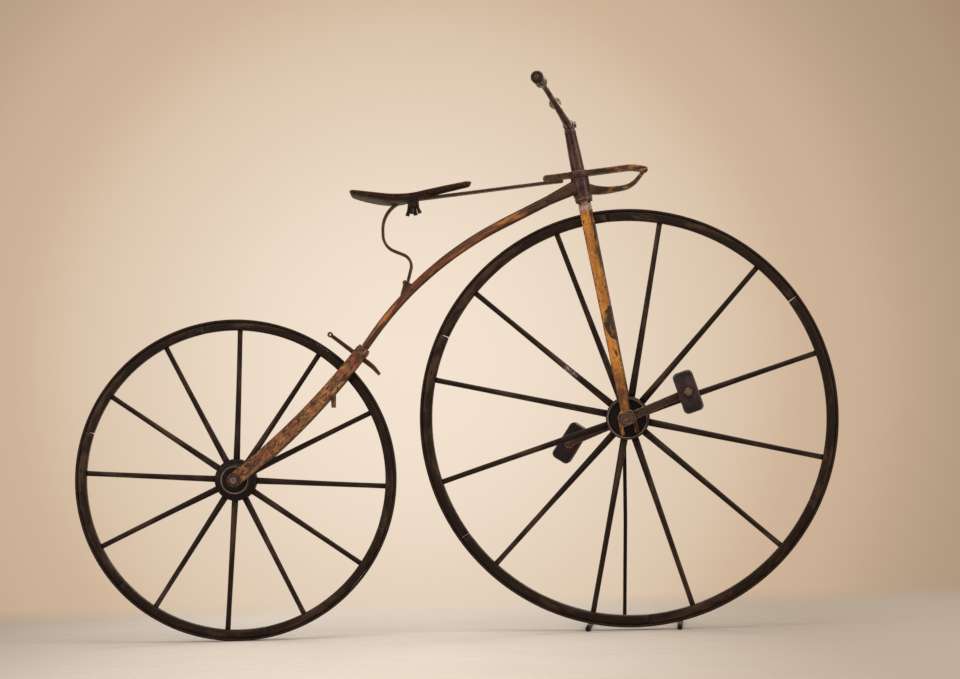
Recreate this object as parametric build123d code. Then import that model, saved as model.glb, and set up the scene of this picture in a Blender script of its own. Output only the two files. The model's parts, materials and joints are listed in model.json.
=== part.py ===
from build123d import *
import os
from math import acos, atan, cos, degrees, radians, sin, sqrt, tan

# Velocipede with wooden wheels and iron tyres, standing on a small display stand.
# Millimetres. +X is forward, +Y is the rider's left, +Z is up and the floor is at Z = 0.
# Side-view points are (x, z). Points on the steering are (forward, left, along), measured
# from the front axle along the raked steering axis.

# Stance
REAR_RADIUS = 370.0
FRONT_RADIUS = 482.5
WHEEL_GAP = 62.8
RAKE = 9.8
PARKED_STEER = -5.2
RUN_GAP = 5.5
SEAT_GAP = 0.3
PIN_CLEARANCE = 0.08

# Rims, shared by both wheels
TYRE_WIDTH = 28.0
TYRE_THICKNESS = 6.0
FELLOE_WIDTH = 27.0
FELLOE_CHAMFER = 4.0
FELLOE_COUNT = 6
FELLOE_JOINT = 0.6
SPOKES_PER_FELLOE = 2
SPOKE_SIDES = 8
TENON_SIDE = 8.0
TENON_LENGTH = 12.0
TENON_CLEARANCE = 0.1

# Front wheel
FRONT_FELLOE_DEPTH = 21.5
FRONT_SPOKE_AT_HUB = 18.0
FRONT_SPOKE_AT_RIM = 12.5
FRONT_SPOKE_ANGLE = 17.6
FRONT_SPOKE_DRIFT = (0.0, 0.3, 1.6, 2.0, 1.6, -0.2, 0.0, -1.2, 0.7, -0.1, 1.0, -0.5)
FRONT_JOINT_ANGLE = 3.6
FRONT_HUB_RADIUS = 50.0
FRONT_HUB_WAIST = 24.0
FRONT_HUB_HALF = 50.0
FRONT_HOOP_RADIUS = 49.5
FRONT_HOOP_THICKNESS = 6.0
FRONT_HUB_RECESS = 7.0

# Rear wheel
REAR_FELLOE_DEPTH = 19.5
REAR_SPOKE_AT_HUB = 16.0
REAR_SPOKE_AT_RIM = 12.0
REAR_SPOKE_ANGLE = 26.0
REAR_SPOKE_DRIFT = (-1.0, -0.9, 1.1, 0.5, -1.2, 0.0, -1.1, 0.2, -0.5, -0.5, -1.3, 0.1)
REAR_JOINT_ANGLE = 40.5
REAR_HUB_RADIUS = 48.0
REAR_HUB_WAIST = 19.0
REAR_HUB_HALF = 45.0
REAR_HOOP_RADIUS = 34.0
REAR_HOOP_THICKNESS = 5.0
REAR_HUB_RECESS = 3.0

# Front axle, cranks and pedals
FRONT_AXLE_RADIUS = 11.5
CRANK_GAP = 3.0
CRANK_LENGTH = 152.0
CRANK_ANGLE = 22.0
CRANK_THICKNESS = 12.0
CRANK_WIDTH_AT_BOSS = 21.0
CRANK_WIDTH_AT_EYE = 17.0
CRANK_EYE_RADIUS = 12.0
CRANK_BOSS_LENGTH = 38.0
CRANK_BOSS_WIDTH = 32.0
CRANK_BOSS_THICKNESS = 22.0
CRANK_BOSS_ROUND = 9.0
PEDAL_PIN_RADIUS = 8.0
PEDAL_COLLAR_RADIUS = 12.0
PEDAL_LENGTH = 87.0
PEDAL_HEIGHT = 95.0
PEDAL_DEPTH = 46.0
PEDAL_ROUND = 11.0
PEDAL_EDGE = 3.0
PEDAL_NUT_ACROSS = 20.0
PEDAL_NUT_THICKNESS = 9.0
PEDAL_PIN_TIP = 3.0
RIGHT_PEDAL_LEAN = 18.0
LEFT_PEDAL_LEAN = -33.6

# Front fork
BLADE_WIDTH_TOP = 29.0
BLADE_WIDTH_BOTTOM = 22.5
BLADE_THICKNESS_TOP = 12.0
FORK_END_THICKNESS = 14.0
FORK_END_WIDTH = 42.0
FORK_END_DROP = 36.0
FORK_END_STRAIGHT = 58.0
CROWN_LEG = 20.0
CROWN_SIDE_GAP = 6.0
CROWN_HEADROOM = 13.5
NECK_RADIUS_LOW = 13.5
NECK_RADIUS_HIGH = 16.5
NECK_LENGTH = 12.0
NECK_SINK = 6.0
COLLAR_RADIUS = 21.0
COLLAR_THICKNESS = 5.5
STEM_RADIUS = 11.0

# Head, column and handlebar
BOSS_RADIUS = 21.0
BOSS_LENGTH = 45.0
ARM_EYE_RADIUS = 20.0
ARM_EYE_HEIGHT = 15.0
COLUMN_LENGTH = 98.0
COLUMN_RADIUS_LOW = 16.0
COLUMN_RADIUS_HIGH = 13.0
STEM_IN_COLUMN = 30.0
LUG_RADIUS = 13.0
LUG_LENGTH = 44.0
LUG_SINK = 1.0
BAR_RADIUS = 6.5
BAR_SHOULDER = 42.0
BAR_RISE = 80.5
BAR_SWEEP = 28.5
BAR_SKEW = -0.9
BAR_SPREAD = 185.0
BAR_BENDS = (70.0, 110.0)
GRIP_REACH = 100.0
GRIP_RISE = 11.0
GRIP_SWEEP = 7.0
GRIP_LENGTH = 70.0
GRIP_RADIUS = 14.5
GRIP_WAIST = 10.5
FERRULE_LENGTH = 15.0
FERRULE_RADIUS = 13.5
FERRULE_LIP = 2.0
FERRULE_FLARE = 5.0
KNOB_ROUND = 5.0
BOLT_RADIUS = 6.0
BOLT_LENGTH = 5.0

# Spring arm and scroll arm on the head, from the boss centre
ARM_REACH_BACK = 82.0
ARM_REACH_FORWARD = 148.0
ARM_STRAIGHT = 0.8
ARM_BEND = 0.5
ARM_CREST = 5.0
ARM_DIP = 6.0
ARM_HEIGHT = 31.0
ARM_SLOPE = 0.08
ARM_THICKNESS = 14.0
ARM_WIDTH = 26.0
SCROLL_WIDTH = 22.0
SCROLL_LOW = (48.0, -8.5)
SCROLL_RISE = (116.0, 0.5)
SCROLL_HALVES = (15.0, 7.5, 5.5, 4.5)
SCROLL_BENDS = (0.45, 0.45)

# Backbone, rear crown and rear fork
BACKBONE_THICKNESS = 22.0
BACKBONE_TAIL = 18.0
BACKBONE_WIDTH = 25.0
BACKBONE_CHAMFER = 5.0
BACKBONE_TO_TYRE = 54.0
BACKBONE_SLOPE = 25.5
BACKBONE_REACH = 0.6
BACKBONE_BEND = 0.85
NECK_ANGLE = 17.5
NECK_THICKNESS = 34.0
NECK_LIFT = 9.0
NECK_LAP = 10.0
LEG_ANGLE = 43.9
LEG_SAG = 11.7
LEG_WIDTH_CROWN = 30.5
LEG_WIDTH_AXLE = 32.0
LEG_TIP = 16.0
LEG_TIP_CUT = 6.0
LEG_THICKNESS = 12.0
LEG_STRAIGHT = 52.0
CROWN_GAP = 13.0
CROWN_LENGTH = 42.0
CROWN_WIDTH = 40.0
CROWN_HEIGHT = 28.0
REAR_AXLE_RADIUS = 9.0
REAR_STUB_RADIUS = 8.0
REAR_AXLE_STUB = 10.0
REAR_NUT_ACROSS = 27.0
REAR_NUT_THICKNESS = 10.0

# Leaf spring and saddle
SPRING_THICKNESS = 6.5
SPRING_WIDTH = 32.0
SPRING_LAP = 40.0
SPRING_DROP = 42.0
SPRING_BENDS = (0.3, 0.6, 0.36, 0.42)
SCROLL_SETBACK = 54.0
SCROLL_BULGE = 15.0
SCROLL_WAIST = (0.46, 0.3)
BRACKET_ALONG = 0.28
BRACKET_LEAN = 5.0
BRACKET_HEIGHT = 30.0
BRACKET_WIDTH = 24.0
BRACKET_HALVES = (9.0, 13.0)
BRACKET_EYE_RADIUS = 6.0
SADDLE_LENGTH = 280.0
SADDLE_WIDTH = 176.0
SADDLE_NOSE_WIDTH = 46.0
SADDLE_BEHIND_SCROLL = 73.5
SADDLE_ALONG = (0.0, 0.21, 0.43, 0.73, 1.0)
SADDLE_RISES = (27.0, 5.0, 1.0, 25.5, 41.0)
SADDLE_HALVES = (3.0, 7.5, 8.0, 6.5, 3.0)
SADDLE_BENDS = (0.38, 0.38, 0.38)
SADDLE_NECK = 0.53
SADDLE_SEAT = 0.32
SADDLE_TAIL_SHARE = 0.8
SADDLE_ROUNDS = (18.0, 60.0, 40.0, 40.0)
PAN_THICKNESS = 4.0
CLAMP_SETBACK = 145.0
CLAMP_LENGTH = 26.0
CLAMP_HEIGHT = 20.0
CLAMP_RISE = 2.0
LACE_COUNT = 4
LACE_RADIUS = 2.6
LACE_LENGTH = 22.0
LACE_PITCH = 6.5
LACE_SPREAD = 11.0

# Brake lever and step peg
LEVER_THICKNESS = 10.0
LEVER_SLOT_GAP = 1.0
LEVER_EYE_RADIUS = 6.6
LEVER_EYE_HOLE = 2.2
LEVER_PIN_RADIUS = 4.0
LEVER_SLOT_LENGTH = 18.0
LEVER_HALVES = (4.5, 6.0, 3.5)
LEVER_BENDS = (0.45,)
LEVER_LINE = ((-66.0, 49.0), (33.0, -29.5), (46.0, -47.0))
PEG_RADIUS_TOP = 8.0
PEG_RADIUS_BOTTOM = 5.0
PEG_LENGTH = 62.0
PEG_ALONG_LEG = 320.0

# Display stand
PRONG_RADIUS = 6.0
PRONG_SPREAD = 211.0
PRONG_NEAR_END = 22.0
PRONG_FAR_END = 215.0
UPRIGHT_RADIUS = 4.5
UPRIGHT_KNEE = 255.0
UPRIGHT_BEND = 120.0
UPRIGHT_BACK_FOOT = 28.0
UPRIGHT_BACK_KNEE = 14.5
UPRIGHT_BACK_TOP = 11.0
CRADLE_OVERHANG = 3.0
CRADLE_THICKNESS = 6.0

# Sizes worked out from those above
spoke_count = FELLOE_COUNT * SPOKES_PER_FELLOE
prong_half = PRONG_SPREAD / 2
prong_reach = FRONT_RADIUS + RUN_GAP + PRONG_RADIUS
front_axle_z = sqrt(prong_reach**2 - prong_half**2) + PRONG_RADIUS
axle_gap = FRONT_RADIUS + REAR_RADIUS + WHEEL_GAP
wheelbase = sqrt(axle_gap**2 - (front_axle_z - REAR_RADIUS) ** 2)
fork_inner = FRONT_HUB_HALF + RUN_GAP
fork_middle = fork_inner + FORK_END_THICKNESS / 2
fork_outer = fork_inner + FORK_END_THICKNESS
crank_inner = fork_outer + CRANK_GAP
leg_inner = REAR_HUB_HALF + RUN_GAP
leg_outer = leg_inner + LEG_THICKNESS
crown_inner = TYRE_WIDTH / 2 + CROWN_SIDE_GAP
crown_arch = FRONT_RADIUS + CROWN_HEADROOM - crown_inner
crown_outer = crown_inner + BLADE_THICKNESS_TOP
blade_top = crown_arch - CROWN_LEG
neck_base = crown_arch + crown_outer - NECK_SINK
collar_base = neck_base + NECK_LENGTH
boss_base = collar_base + COLLAR_THICKNESS + SEAT_GAP
boss_middle = boss_base + BOSS_LENGTH / 2
eye_top = boss_base + BOSS_LENGTH + ARM_EYE_HEIGHT
column_base = eye_top + SEAT_GAP
column_top = column_base + COLUMN_LENGTH
bar_height = column_top + LUG_RADIUS - LUG_SINK

# Frames: the raked head, the parked steering, the two axles and the stand
head_frame = Location((wheelbase, 0, front_axle_z), (0, -RAKE, 0))
steer_frame = head_frame * Location((0, 0, 0), (0, 0, PARKED_STEER))
stand_frame = Location((wheelbase, 0, 0), (0, 0, PARKED_STEER))
wheel_turn = Location((0, 0, 0), (90, 0, 0))
front_axle_frame = steer_frame * wheel_turn * Location((0, 0, 0), (0, 0, -RAKE))
rear_axle_frame = Location((0, 0, REAR_RADIUS)) * wheel_turn
head_x = wheelbase - boss_middle * sin(radians(RAKE))
head_z = front_axle_z + boss_middle * cos(radians(RAKE))
leg_dir = Vector(cos(radians(LEG_ANGLE)), sin(radians(LEG_ANGLE)))


def bend_radii(points, shares):
    """A radius for each inner corner of a polyline; its arc takes a share of the shorter run beside it."""
    runs = [Vector(*b) - Vector(*a) for a, b in zip(points, points[1:])]
    radii = []
    for before, after, share in zip(runs, runs[1:], shares):
        turn = acos(before.normalized().dot(after.normalized()))
        radii.append(share * min(before.length, after.length) / tan(turn / 2))
    return radii


def ribbon(points, halves, shares):
    """Side-view face along a bent centreline, with a half thickness and a bend share at each corner."""
    spots = [Vector(*point) for point in points]
    runs = [(b - a).normalized() for a, b in zip(spots, spots[1:])]
    radii = bend_radii(points, shares)
    outline = Curve()
    ends = []
    for side in (1, -1):
        corners = []
        rounds = []
        for i, spot in enumerate(spots):
            before = runs[max(i - 1, 0)]
            after = runs[min(i, len(runs) - 1)]
            middle = (before + after).normalized()
            normal = Vector(-middle.Y, middle.X)
            corners.append(spot + normal * (side * halves[i] / middle.dot(before)))
            if 0 < i < len(spots) - 1:
                turn = 1 if before.cross(after).Z > 0 else -1
                rounds.append(radii[i - 1] - side * turn * halves[i])
        outline += FilletPolyline(*corners, radius=rounds) if rounds else Line(*corners)
        ends.append((corners[0], corners[-1]))
    upper, lower = ends
    return make_face(outline + Line(upper[0], lower[0]) + Line(upper[1], lower[1]))


def between(upper, lower):
    """The face between two open outlines, closed by a straight line at each end."""
    return make_face(upper + lower + Line(upper @ 0, lower @ 0) + Line(upper @ 1, lower @ 1))


def slab(face, width):
    """A side-view face thickened across the machine, centred on its middle plane."""
    return Rot(90, 0, 0) * extrude(face, width / 2, both=True)


def turned(*profile):
    """A solid turned about Z from (radius, height) corners."""
    return revolve(Plane.XZ * make_face(Polyline(*profile, close=True)), Axis.Z)


def tube(radius, start, end):
    """A round bar between two points."""
    run = Vector(*end) - Vector(*start)
    return extrude(Plane(start, z_dir=run) * Circle(radius), run.length)


def hexagon(across, thickness, z):
    """A hexagonal nut on the Z axis, from z upwards."""
    return Pos(0, 0, z) * extrude(RegularPolygon(across / 2, 6, major_radius=False), thickness)


def mirrored(part):
    """The same piece on the other side of the machine."""
    return mirror(part, Plane.XZ)


# Wheels, drawn flat about the Z axis
def wheel(radius, felloe_depth, spoke_at_hub, spoke_at_rim, spoke_angle, spoke_drift, joint_angle,
          hub_radius, hub_waist, hub_half, hoop_radius, hoop_thickness, hub_recess, bore):
    """Tyre, felloes, spokes, hub and hoops of a wooden wheel."""
    rim_outer = radius - TYRE_THICKNESS
    rim_inner = rim_outer - felloe_depth
    half = TYRE_WIDTH / 2
    tyre = turned((rim_outer, -half), (radius, -half), (radius, half), (rim_outer, half))

    half = FELLOE_WIDTH / 2
    cut = FELLOE_CHAMFER
    rim = turned((rim_outer, -half), (rim_outer, half), (rim_inner + cut, half),
                 (rim_inner, half - cut), (rim_inner, cut - half), (rim_inner + cut, -half))
    joint = Pos(radius, 0, 0) * Box(radius, FELLOE_JOINT, TYRE_WIDTH)
    for i in range(FELLOE_COUNT):
        rim -= Rot(0, 0, joint_angle + i * 360 / FELLOE_COUNT) * joint

    hoop_inner = hoop_radius - hoop_thickness
    face = hub_half - hub_recess
    hub = turned((bore, -face), (hoop_inner, -face), (hoop_inner, -hub_waist), (hub_radius, -hub_waist),
                 (hub_radius, hub_waist), (hoop_inner, hub_waist), (hoop_inner, face), (bore, face))
    hoop_start = hub_waist + hoop_thickness
    hoop = turned((hoop_inner, hoop_start), (hoop_radius, hoop_start),
                  (hoop_radius, hub_half), (hoop_inner, hub_half))
    hoops = Compound([hoop, mirror(hoop, Plane.XY)])

    # A spoke: a tapered eight-sided shaft whose tenons bottom in mortises in hub and felloe
    corner = spoke_at_rim / 2 / cos(radians(180 / SPOKE_SIDES))
    shaft_length = sqrt(rim_inner**2 - corner**2) - hub_radius
    taper = degrees(atan((spoke_at_hub - spoke_at_rim) / 2 / shaft_length))
    section = RegularPolygon(spoke_at_hub / 2, SPOKE_SIDES, major_radius=False)
    spoke = Pos(hub_radius, 0, 0) * Rot(0, 90, 0) * extrude(section, shaft_length, taper=taper)
    tenon_length = rim_inner - hub_radius + 2 * TENON_LENGTH
    spoke += Pos((rim_inner + hub_radius) / 2, 0, 0) * Box(tenon_length, TENON_SIDE, TENON_SIDE)
    mortise_side = TENON_SIDE + 2 * TENON_CLEARANCE
    mortise = Box(2 * TENON_LENGTH, mortise_side, mortise_side)
    spokes = []
    for i in range(spoke_count):
        turn = Rot(0, 0, spoke_angle + spoke_drift[i] + i * 360 / spoke_count)
        rim -= turn * Pos(rim_inner, 0, 0) * mortise
        hub -= turn * Pos(hub_radius, 0, 0) * mortise
        spokes.append(turn * spoke)
    return {"tyre": tyre, "felloes": rim, "spokes": Compound(spokes), "hub": hub, "hub_hoops": hoops}


nodes = {}

front_wheel = wheel(FRONT_RADIUS, FRONT_FELLOE_DEPTH, FRONT_SPOKE_AT_HUB, FRONT_SPOKE_AT_RIM,
                    FRONT_SPOKE_ANGLE, FRONT_SPOKE_DRIFT, FRONT_JOINT_ANGLE, FRONT_HUB_RADIUS,
                    FRONT_HUB_WAIST, FRONT_HUB_HALF, FRONT_HOOP_RADIUS, FRONT_HOOP_THICKNESS,
                    FRONT_HUB_RECESS, FRONT_AXLE_RADIUS)
rear_wheel = wheel(REAR_RADIUS, REAR_FELLOE_DEPTH, REAR_SPOKE_AT_HUB, REAR_SPOKE_AT_RIM,
                   REAR_SPOKE_ANGLE, REAR_SPOKE_DRIFT, REAR_JOINT_ANGLE, REAR_HUB_RADIUS,
                   REAR_HUB_WAIST, REAR_HUB_HALF, REAR_HOOP_RADIUS, REAR_HOOP_THICKNESS,
                   REAR_HUB_RECESS, REAR_AXLE_RADIUS + PIN_CLEARANCE)
for name, part in front_wheel.items():
    nodes["front_" + name] = front_axle_frame * part
for name, part in rear_wheel.items():
    nodes["rear_" + name] = rear_axle_frame * part

# Front axle and cranks, in the wheel's flat drawing: +Z there is the right side
axle_end = crank_inner + CRANK_BOSS_THICKNESS
nodes["front_axle"] = front_axle_frame * Cylinder(FRONT_AXLE_RADIUS, 2 * axle_end)

arm_face = make_face(Polyline((0, -CRANK_WIDTH_AT_BOSS / 2), (CRANK_LENGTH, -CRANK_WIDTH_AT_EYE / 2),
                              (CRANK_LENGTH, CRANK_WIDTH_AT_EYE / 2), (0, CRANK_WIDTH_AT_BOSS / 2),
                              close=True))
arm_face += Pos(CRANK_LENGTH, 0) * Circle(CRANK_EYE_RADIUS)
crank = extrude(arm_face, CRANK_THICKNESS)
boss_face = RectangleRounded(CRANK_BOSS_LENGTH, CRANK_BOSS_WIDTH, CRANK_BOSS_ROUND)
crank += extrude(boss_face, CRANK_BOSS_THICKNESS)
crank -= Cylinder(FRONT_AXLE_RADIUS, 3 * CRANK_BOSS_THICKNESS)
crank -= Pos(CRANK_LENGTH, 0, 0) * Cylinder(PEDAL_PIN_RADIUS, 3 * CRANK_THICKNESS)

# Pedal pin with its collar, the pedal block and the nut, along the pin from the crank's inner face
collar_end = CRANK_THICKNESS + RUN_GAP
pedal_start = collar_end + SEAT_GAP
pedal_end = pedal_start + PEDAL_LENGTH
nut_start = pedal_end + SEAT_GAP
pin_end = nut_start + PEDAL_NUT_THICKNESS + PEDAL_PIN_TIP
pin = extrude(Circle(PEDAL_PIN_RADIUS), pin_end)
pin += Pos(0, 0, CRANK_THICKNESS) * extrude(Circle(PEDAL_COLLAR_RADIUS), RUN_GAP)
nut = hexagon(PEDAL_NUT_ACROSS, PEDAL_NUT_THICKNESS, nut_start)
nut -= Cylinder(PEDAL_PIN_RADIUS, 3 * pin_end)
block = extrude(RectangleRounded(PEDAL_DEPTH, PEDAL_HEIGHT, PEDAL_ROUND), PEDAL_LENGTH)
block = chamfer(block.edges().filter_by(GeomType.LINE, reverse=True).group_by(Axis.Z)[-1], PEDAL_EDGE)
block = Pos(0, 0, pedal_start) * (block - Cylinder(PEDAL_PIN_RADIUS + PIN_CLEARANCE, 3 * PEDAL_LENGTH))

# Side, crank angle and pedal lean of the two crank sets
crank_sets = (("right", CRANK_ANGLE, RIGHT_PEDAL_LEAN), ("left", CRANK_ANGLE + 180, LEFT_PEDAL_LEAN))
for side, angle, lean in crank_sets:
    flip = Rot(0, 0, 0) if side == "right" else Rot(180, 0, 0)
    turn = angle if side == "right" else -angle
    tilt = lean if side == "right" else -lean
    arm_frame = front_axle_frame * flip * Rot(0, 0, turn) * Pos(0, 0, crank_inner)
    pin_frame = arm_frame * Pos(CRANK_LENGTH, 0, 0) * Rot(0, 0, -turn)
    nodes["crank_" + side] = arm_frame * crank
    nodes["pedal_pin_" + side] = pin_frame * pin
    nodes["pedal_nut_" + side] = pin_frame * nut
    nodes["pedal_" + side] = pin_frame * Rot(0, 0, tilt) * block

# Fork crown: an arch over the tyre with neck, thrust collar and stem
arch = Pos(0, crown_arch) * Circle(crown_outer) + Pos(0, crown_arch - CROWN_LEG / 2) * Rectangle(
    2 * crown_outer, CROWN_LEG)
arch -= Pos(0, crown_arch - crown_outer / 2 - CROWN_LEG / 2) * Rectangle(
    2 * crown_inner, crown_outer + CROWN_LEG)
arch -= Pos(0, crown_arch) * Circle(crown_inner)
arch -= Pos(0, blade_top - crown_outer) * Rectangle(4 * crown_outer, 2 * crown_outer)
fork_crown = extrude(Plane.YZ * arch, BLADE_WIDTH_TOP / 2, both=True)
fork_crown += turned((0, neck_base), (NECK_RADIUS_LOW, neck_base), (NECK_RADIUS_HIGH, collar_base),
                     (COLLAR_RADIUS, collar_base), (COLLAR_RADIUS, collar_base + COLLAR_THICKNESS),
                     (STEM_RADIUS, collar_base + COLLAR_THICKNESS),
                     (STEM_RADIUS, column_base + STEM_IN_COLUMN), (0, column_base + STEM_IN_COLUMN))
nodes["fork_crown"] = steer_frame * fork_crown

# Fork blade: front view (left, along) crossed with side view (forward, along)
front_view = make_face(Polyline((crown_inner, blade_top), (crown_outer, blade_top),
                                (fork_outer, FORK_END_STRAIGHT), (fork_outer, -FORK_END_DROP),
                                (fork_inner, -FORK_END_DROP), (fork_inner, FORK_END_STRAIGHT), close=True))
half_top = BLADE_WIDTH_TOP / 2
half_bottom = BLADE_WIDTH_BOTTOM / 2
half_end = FORK_END_WIDTH / 2
side_view = make_face(Polyline((-half_top, blade_top), (half_top, blade_top), (half_bottom, half_end),
                               (half_bottom, 0), (-half_bottom, 0), (-half_bottom, half_end), close=True))
side_view += Circle(half_end) + Pos(0, -FORK_END_DROP / 2) * Rectangle(FORK_END_WIDTH, FORK_END_DROP)
slot = FRONT_AXLE_RADIUS + PIN_CLEARANCE
side_view -= Circle(slot) + Pos(0, -FORK_END_DROP) * Rectangle(2 * slot, 2 * FORK_END_DROP)
blade = extrude(Plane.YZ * front_view, FORK_END_WIDTH, both=True)
blade &= Rot(90, 0, 0) * extrude(side_view, 2 * fork_outer, both=True)
nodes["fork_blade_left"] = steer_frame * blade
nodes["fork_blade_right"] = steer_frame * mirrored(blade)

# Steering column, handlebar lug, bolt and bar
column = turned((0, column_base), (COLUMN_RADIUS_LOW, column_base), (COLUMN_RADIUS_HIGH, column_top),
                (0, column_top))
column -= Pos(0, 0, column_base) * Cylinder(STEM_RADIUS, 2 * STEM_IN_COLUMN)
bar_shoulder = Vector(0, BAR_SHOULDER, bar_height)
bar_bend = Vector(-BAR_SWEEP, BAR_SPREAD, bar_height + BAR_RISE)
bar_tip = bar_bend + Vector(-GRIP_SWEEP, GRIP_REACH, GRIP_RISE)
half_bar = FilletPolyline((0, 0, bar_height), bar_shoulder, bar_bend, bar_tip, radius=BAR_BENDS)
bar = sweep(Plane((0, 0, bar_height), z_dir=(0, 1, 0)) * Circle(BAR_RADIUS), half_bar)
grip_frame = Location(Plane(bar_tip, x_dir=(1, 0, 0), z_dir=bar_tip - bar_bend))
bar -= grip_frame * Pos(0, 0, -GRIP_WAIST / 2) * Box(GRIP_LENGTH, GRIP_LENGTH, GRIP_WAIST)
bar += mirrored(bar)
lug = Pos(0, 0, bar_height) * Rot(90, 0, 0) * Cylinder(LUG_RADIUS, LUG_LENGTH)
lug -= Pos(0, 0, bar_height) * Rot(90, 0, 0) * Cylinder(BAR_RADIUS, 2 * LUG_LENGTH)
lug -= column
bolt = extrude(Plane((0, 0, bar_height), z_dir=(1, 0, 0)) * Circle(BOLT_RADIUS), LUG_RADIUS + BOLT_LENGTH)
bolt -= Pos(0, 0, bar_height) * Rot(90, 0, 0) * Cylinder(LUG_RADIUS, LUG_LENGTH)
bar_frame = steer_frame * Location((0, 0, 0), (0, 0, BAR_SKEW))
nodes["steering_column"] = steer_frame * column
nodes["handlebar"] = bar_frame * bar
nodes["handlebar_lug"] = bar_frame * lug
nodes["handlebar_bolt"] = bar_frame * bolt

# Grips: a pale ferrule and a turned wooden handle that ends in a knob
ferrule_start = -GRIP_LENGTH
grip_start = ferrule_start + FERRULE_LENGTH
hollow = Pos(0, 0, -GRIP_LENGTH / 2 - GRIP_WAIST) * Cylinder(BAR_RADIUS, GRIP_LENGTH)
ferrule = turned((0, ferrule_start), (BAR_RADIUS + FERRULE_LIP, ferrule_start),
                 (FERRULE_RADIUS, ferrule_start + FERRULE_FLARE), (GRIP_WAIST, grip_start), (0, grip_start))
ferrule -= hollow
grip = turned((0, grip_start), (GRIP_WAIST, grip_start), (GRIP_RADIUS, -GRIP_RADIUS),
              (GRIP_RADIUS, -KNOB_ROUND), (GRIP_RADIUS - KNOB_ROUND, 0), (0, 0))
grip -= hollow
nodes["grip_ferrule_left"] = bar_frame * grip_frame * ferrule
nodes["grip_left"] = bar_frame * grip_frame * grip
nodes["grip_ferrule_right"] = bar_frame * mirrored(grip_frame * ferrule)
nodes["grip_right"] = bar_frame * mirrored(grip_frame * grip)

# Spring arm on the head boss, with its eye round the stem
stem_bore = Cylinder(STEM_RADIUS + PIN_CLEARANCE, 4 * column_top)
arm_back = (head_x - ARM_REACH_BACK, head_z + ARM_HEIGHT - ARM_SLOPE * ARM_REACH_BACK)
arm_run = ARM_STRAIGHT * ARM_REACH_FORWARD
arm_bend = (head_x + arm_run, head_z + ARM_HEIGHT + ARM_SLOPE * arm_run + ARM_CREST)
arm_tip = (head_x + ARM_REACH_FORWARD, arm_bend[1] - ARM_DIP)
arm_half = ARM_THICKNESS / 2
arm_side = ribbon((arm_back, arm_bend, arm_tip), (arm_half, arm_half, arm_half), (ARM_BEND,))
arm_side += Pos(*arm_back) * Circle(arm_half) + Pos(*arm_tip) * Circle(arm_half)
spring_arm = slab(arm_side, ARM_WIDTH)
eye_base = boss_base + BOSS_LENGTH
spring_arm += head_frame * Pos(0, 0, eye_base) * extrude(Circle(ARM_EYE_RADIUS), ARM_EYE_HEIGHT)
spring_arm -= head_frame * stem_bore
spring_arm -= head_frame * Pos(0, 0, eye_top) * extrude(Circle(ARM_EYE_RADIUS + RUN_GAP), COLUMN_LENGTH)
nodes["spring_arm"] = spring_arm

# Backbone: one long arc from the rear crown over the front wheel, swelling into the head boss
crown_at = CROWN_GAP + REAR_RADIUS + CROWN_LENGTH / 2
crown_centre = Vector(0, REAR_RADIUS) + leg_dir * crown_at
crown_angle = LEG_ANGLE + 2 * degrees(atan(2 * LEG_SAG / crown_at))
crown_frame = Location((crown_centre.X, 0, crown_centre.Y), (0, -crown_angle, 0))
crown_dir = Vector(cos(radians(crown_angle)), sin(radians(crown_angle)))
neck_reach = FRONT_RADIUS + BACKBONE_TO_TYRE
neck_dir = Vector(cos(radians(BACKBONE_SLOPE)), sin(radians(BACKBONE_SLOPE)))
spine_start = crown_centre + crown_dir * (CROWN_LENGTH / 2 - LEG_TIP_CUT)
spine_neck = Vector(wheelbase - neck_reach * sin(radians(NECK_ANGLE)),
                    front_axle_z + neck_reach * cos(radians(NECK_ANGLE)))
spine_knee = spine_neck - neck_dir * (BACKBONE_REACH * (spine_neck - spine_start).length)
spine_end = Vector(head_x, head_z + NECK_LIFT)
spine = [(spot.X, spot.Y) for spot in (spine_start, spine_knee, spine_neck)]
neck = [(spot.X, spot.Y) for spot in (spine_neck - neck_dir * NECK_LAP, spine_end)]
bone_half = BACKBONE_THICKNESS / 2
backbone = Part()
for face in (ribbon(spine, (BACKBONE_TAIL / 2, bone_half, bone_half), (BACKBONE_BEND,)),
             ribbon(neck, (bone_half, NECK_THICKNESS / 2), ())):
    length = slab(face, BACKBONE_WIDTH)
    long_edges = length.edges().filter_by(lambda edge: abs(edge.tangent_at(0.5).Y) < 0.1)
    backbone += chamfer(long_edges, BACKBONE_CHAMFER)
crown_block = crown_frame * Box(CROWN_LENGTH, CROWN_WIDTH, CROWN_HEIGHT)
boss = head_frame * Pos(0, 0, boss_base) * extrude(Circle(BOSS_RADIUS), BOSS_LENGTH + ARM_EYE_HEIGHT)
below_boss = head_frame * Pos(0, 0, boss_base) * extrude(Circle(COLLAR_RADIUS + RUN_GAP), -BOSS_LENGTH)
backbone += boss
backbone -= crown_block
backbone -= spring_arm
backbone -= head_frame * stem_bore
backbone -= head_frame * Pos(0, 0, eye_top) * extrude(Circle(2 * BOSS_RADIUS), COLUMN_LENGTH)
backbone -= below_boss
nodes["backbone"] = backbone

# Scroll arm: from the boss down and forward, thinning, then up to the tip of the spring arm
scroll = ((head_x, head_z), (head_x + SCROLL_LOW[0], head_z + SCROLL_LOW[1]),
          (head_x + SCROLL_RISE[0], head_z + SCROLL_RISE[1]), arm_tip)
scroll_arm = slab(ribbon(scroll, SCROLL_HALVES, SCROLL_BENDS), SCROLL_WIDTH)
scroll_arm -= boss
scroll_arm -= below_boss
scroll_arm -= spring_arm
nodes["scroll_arm"] = scroll_arm.solids().sort_by(SortBy.VOLUME)[-1]

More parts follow.
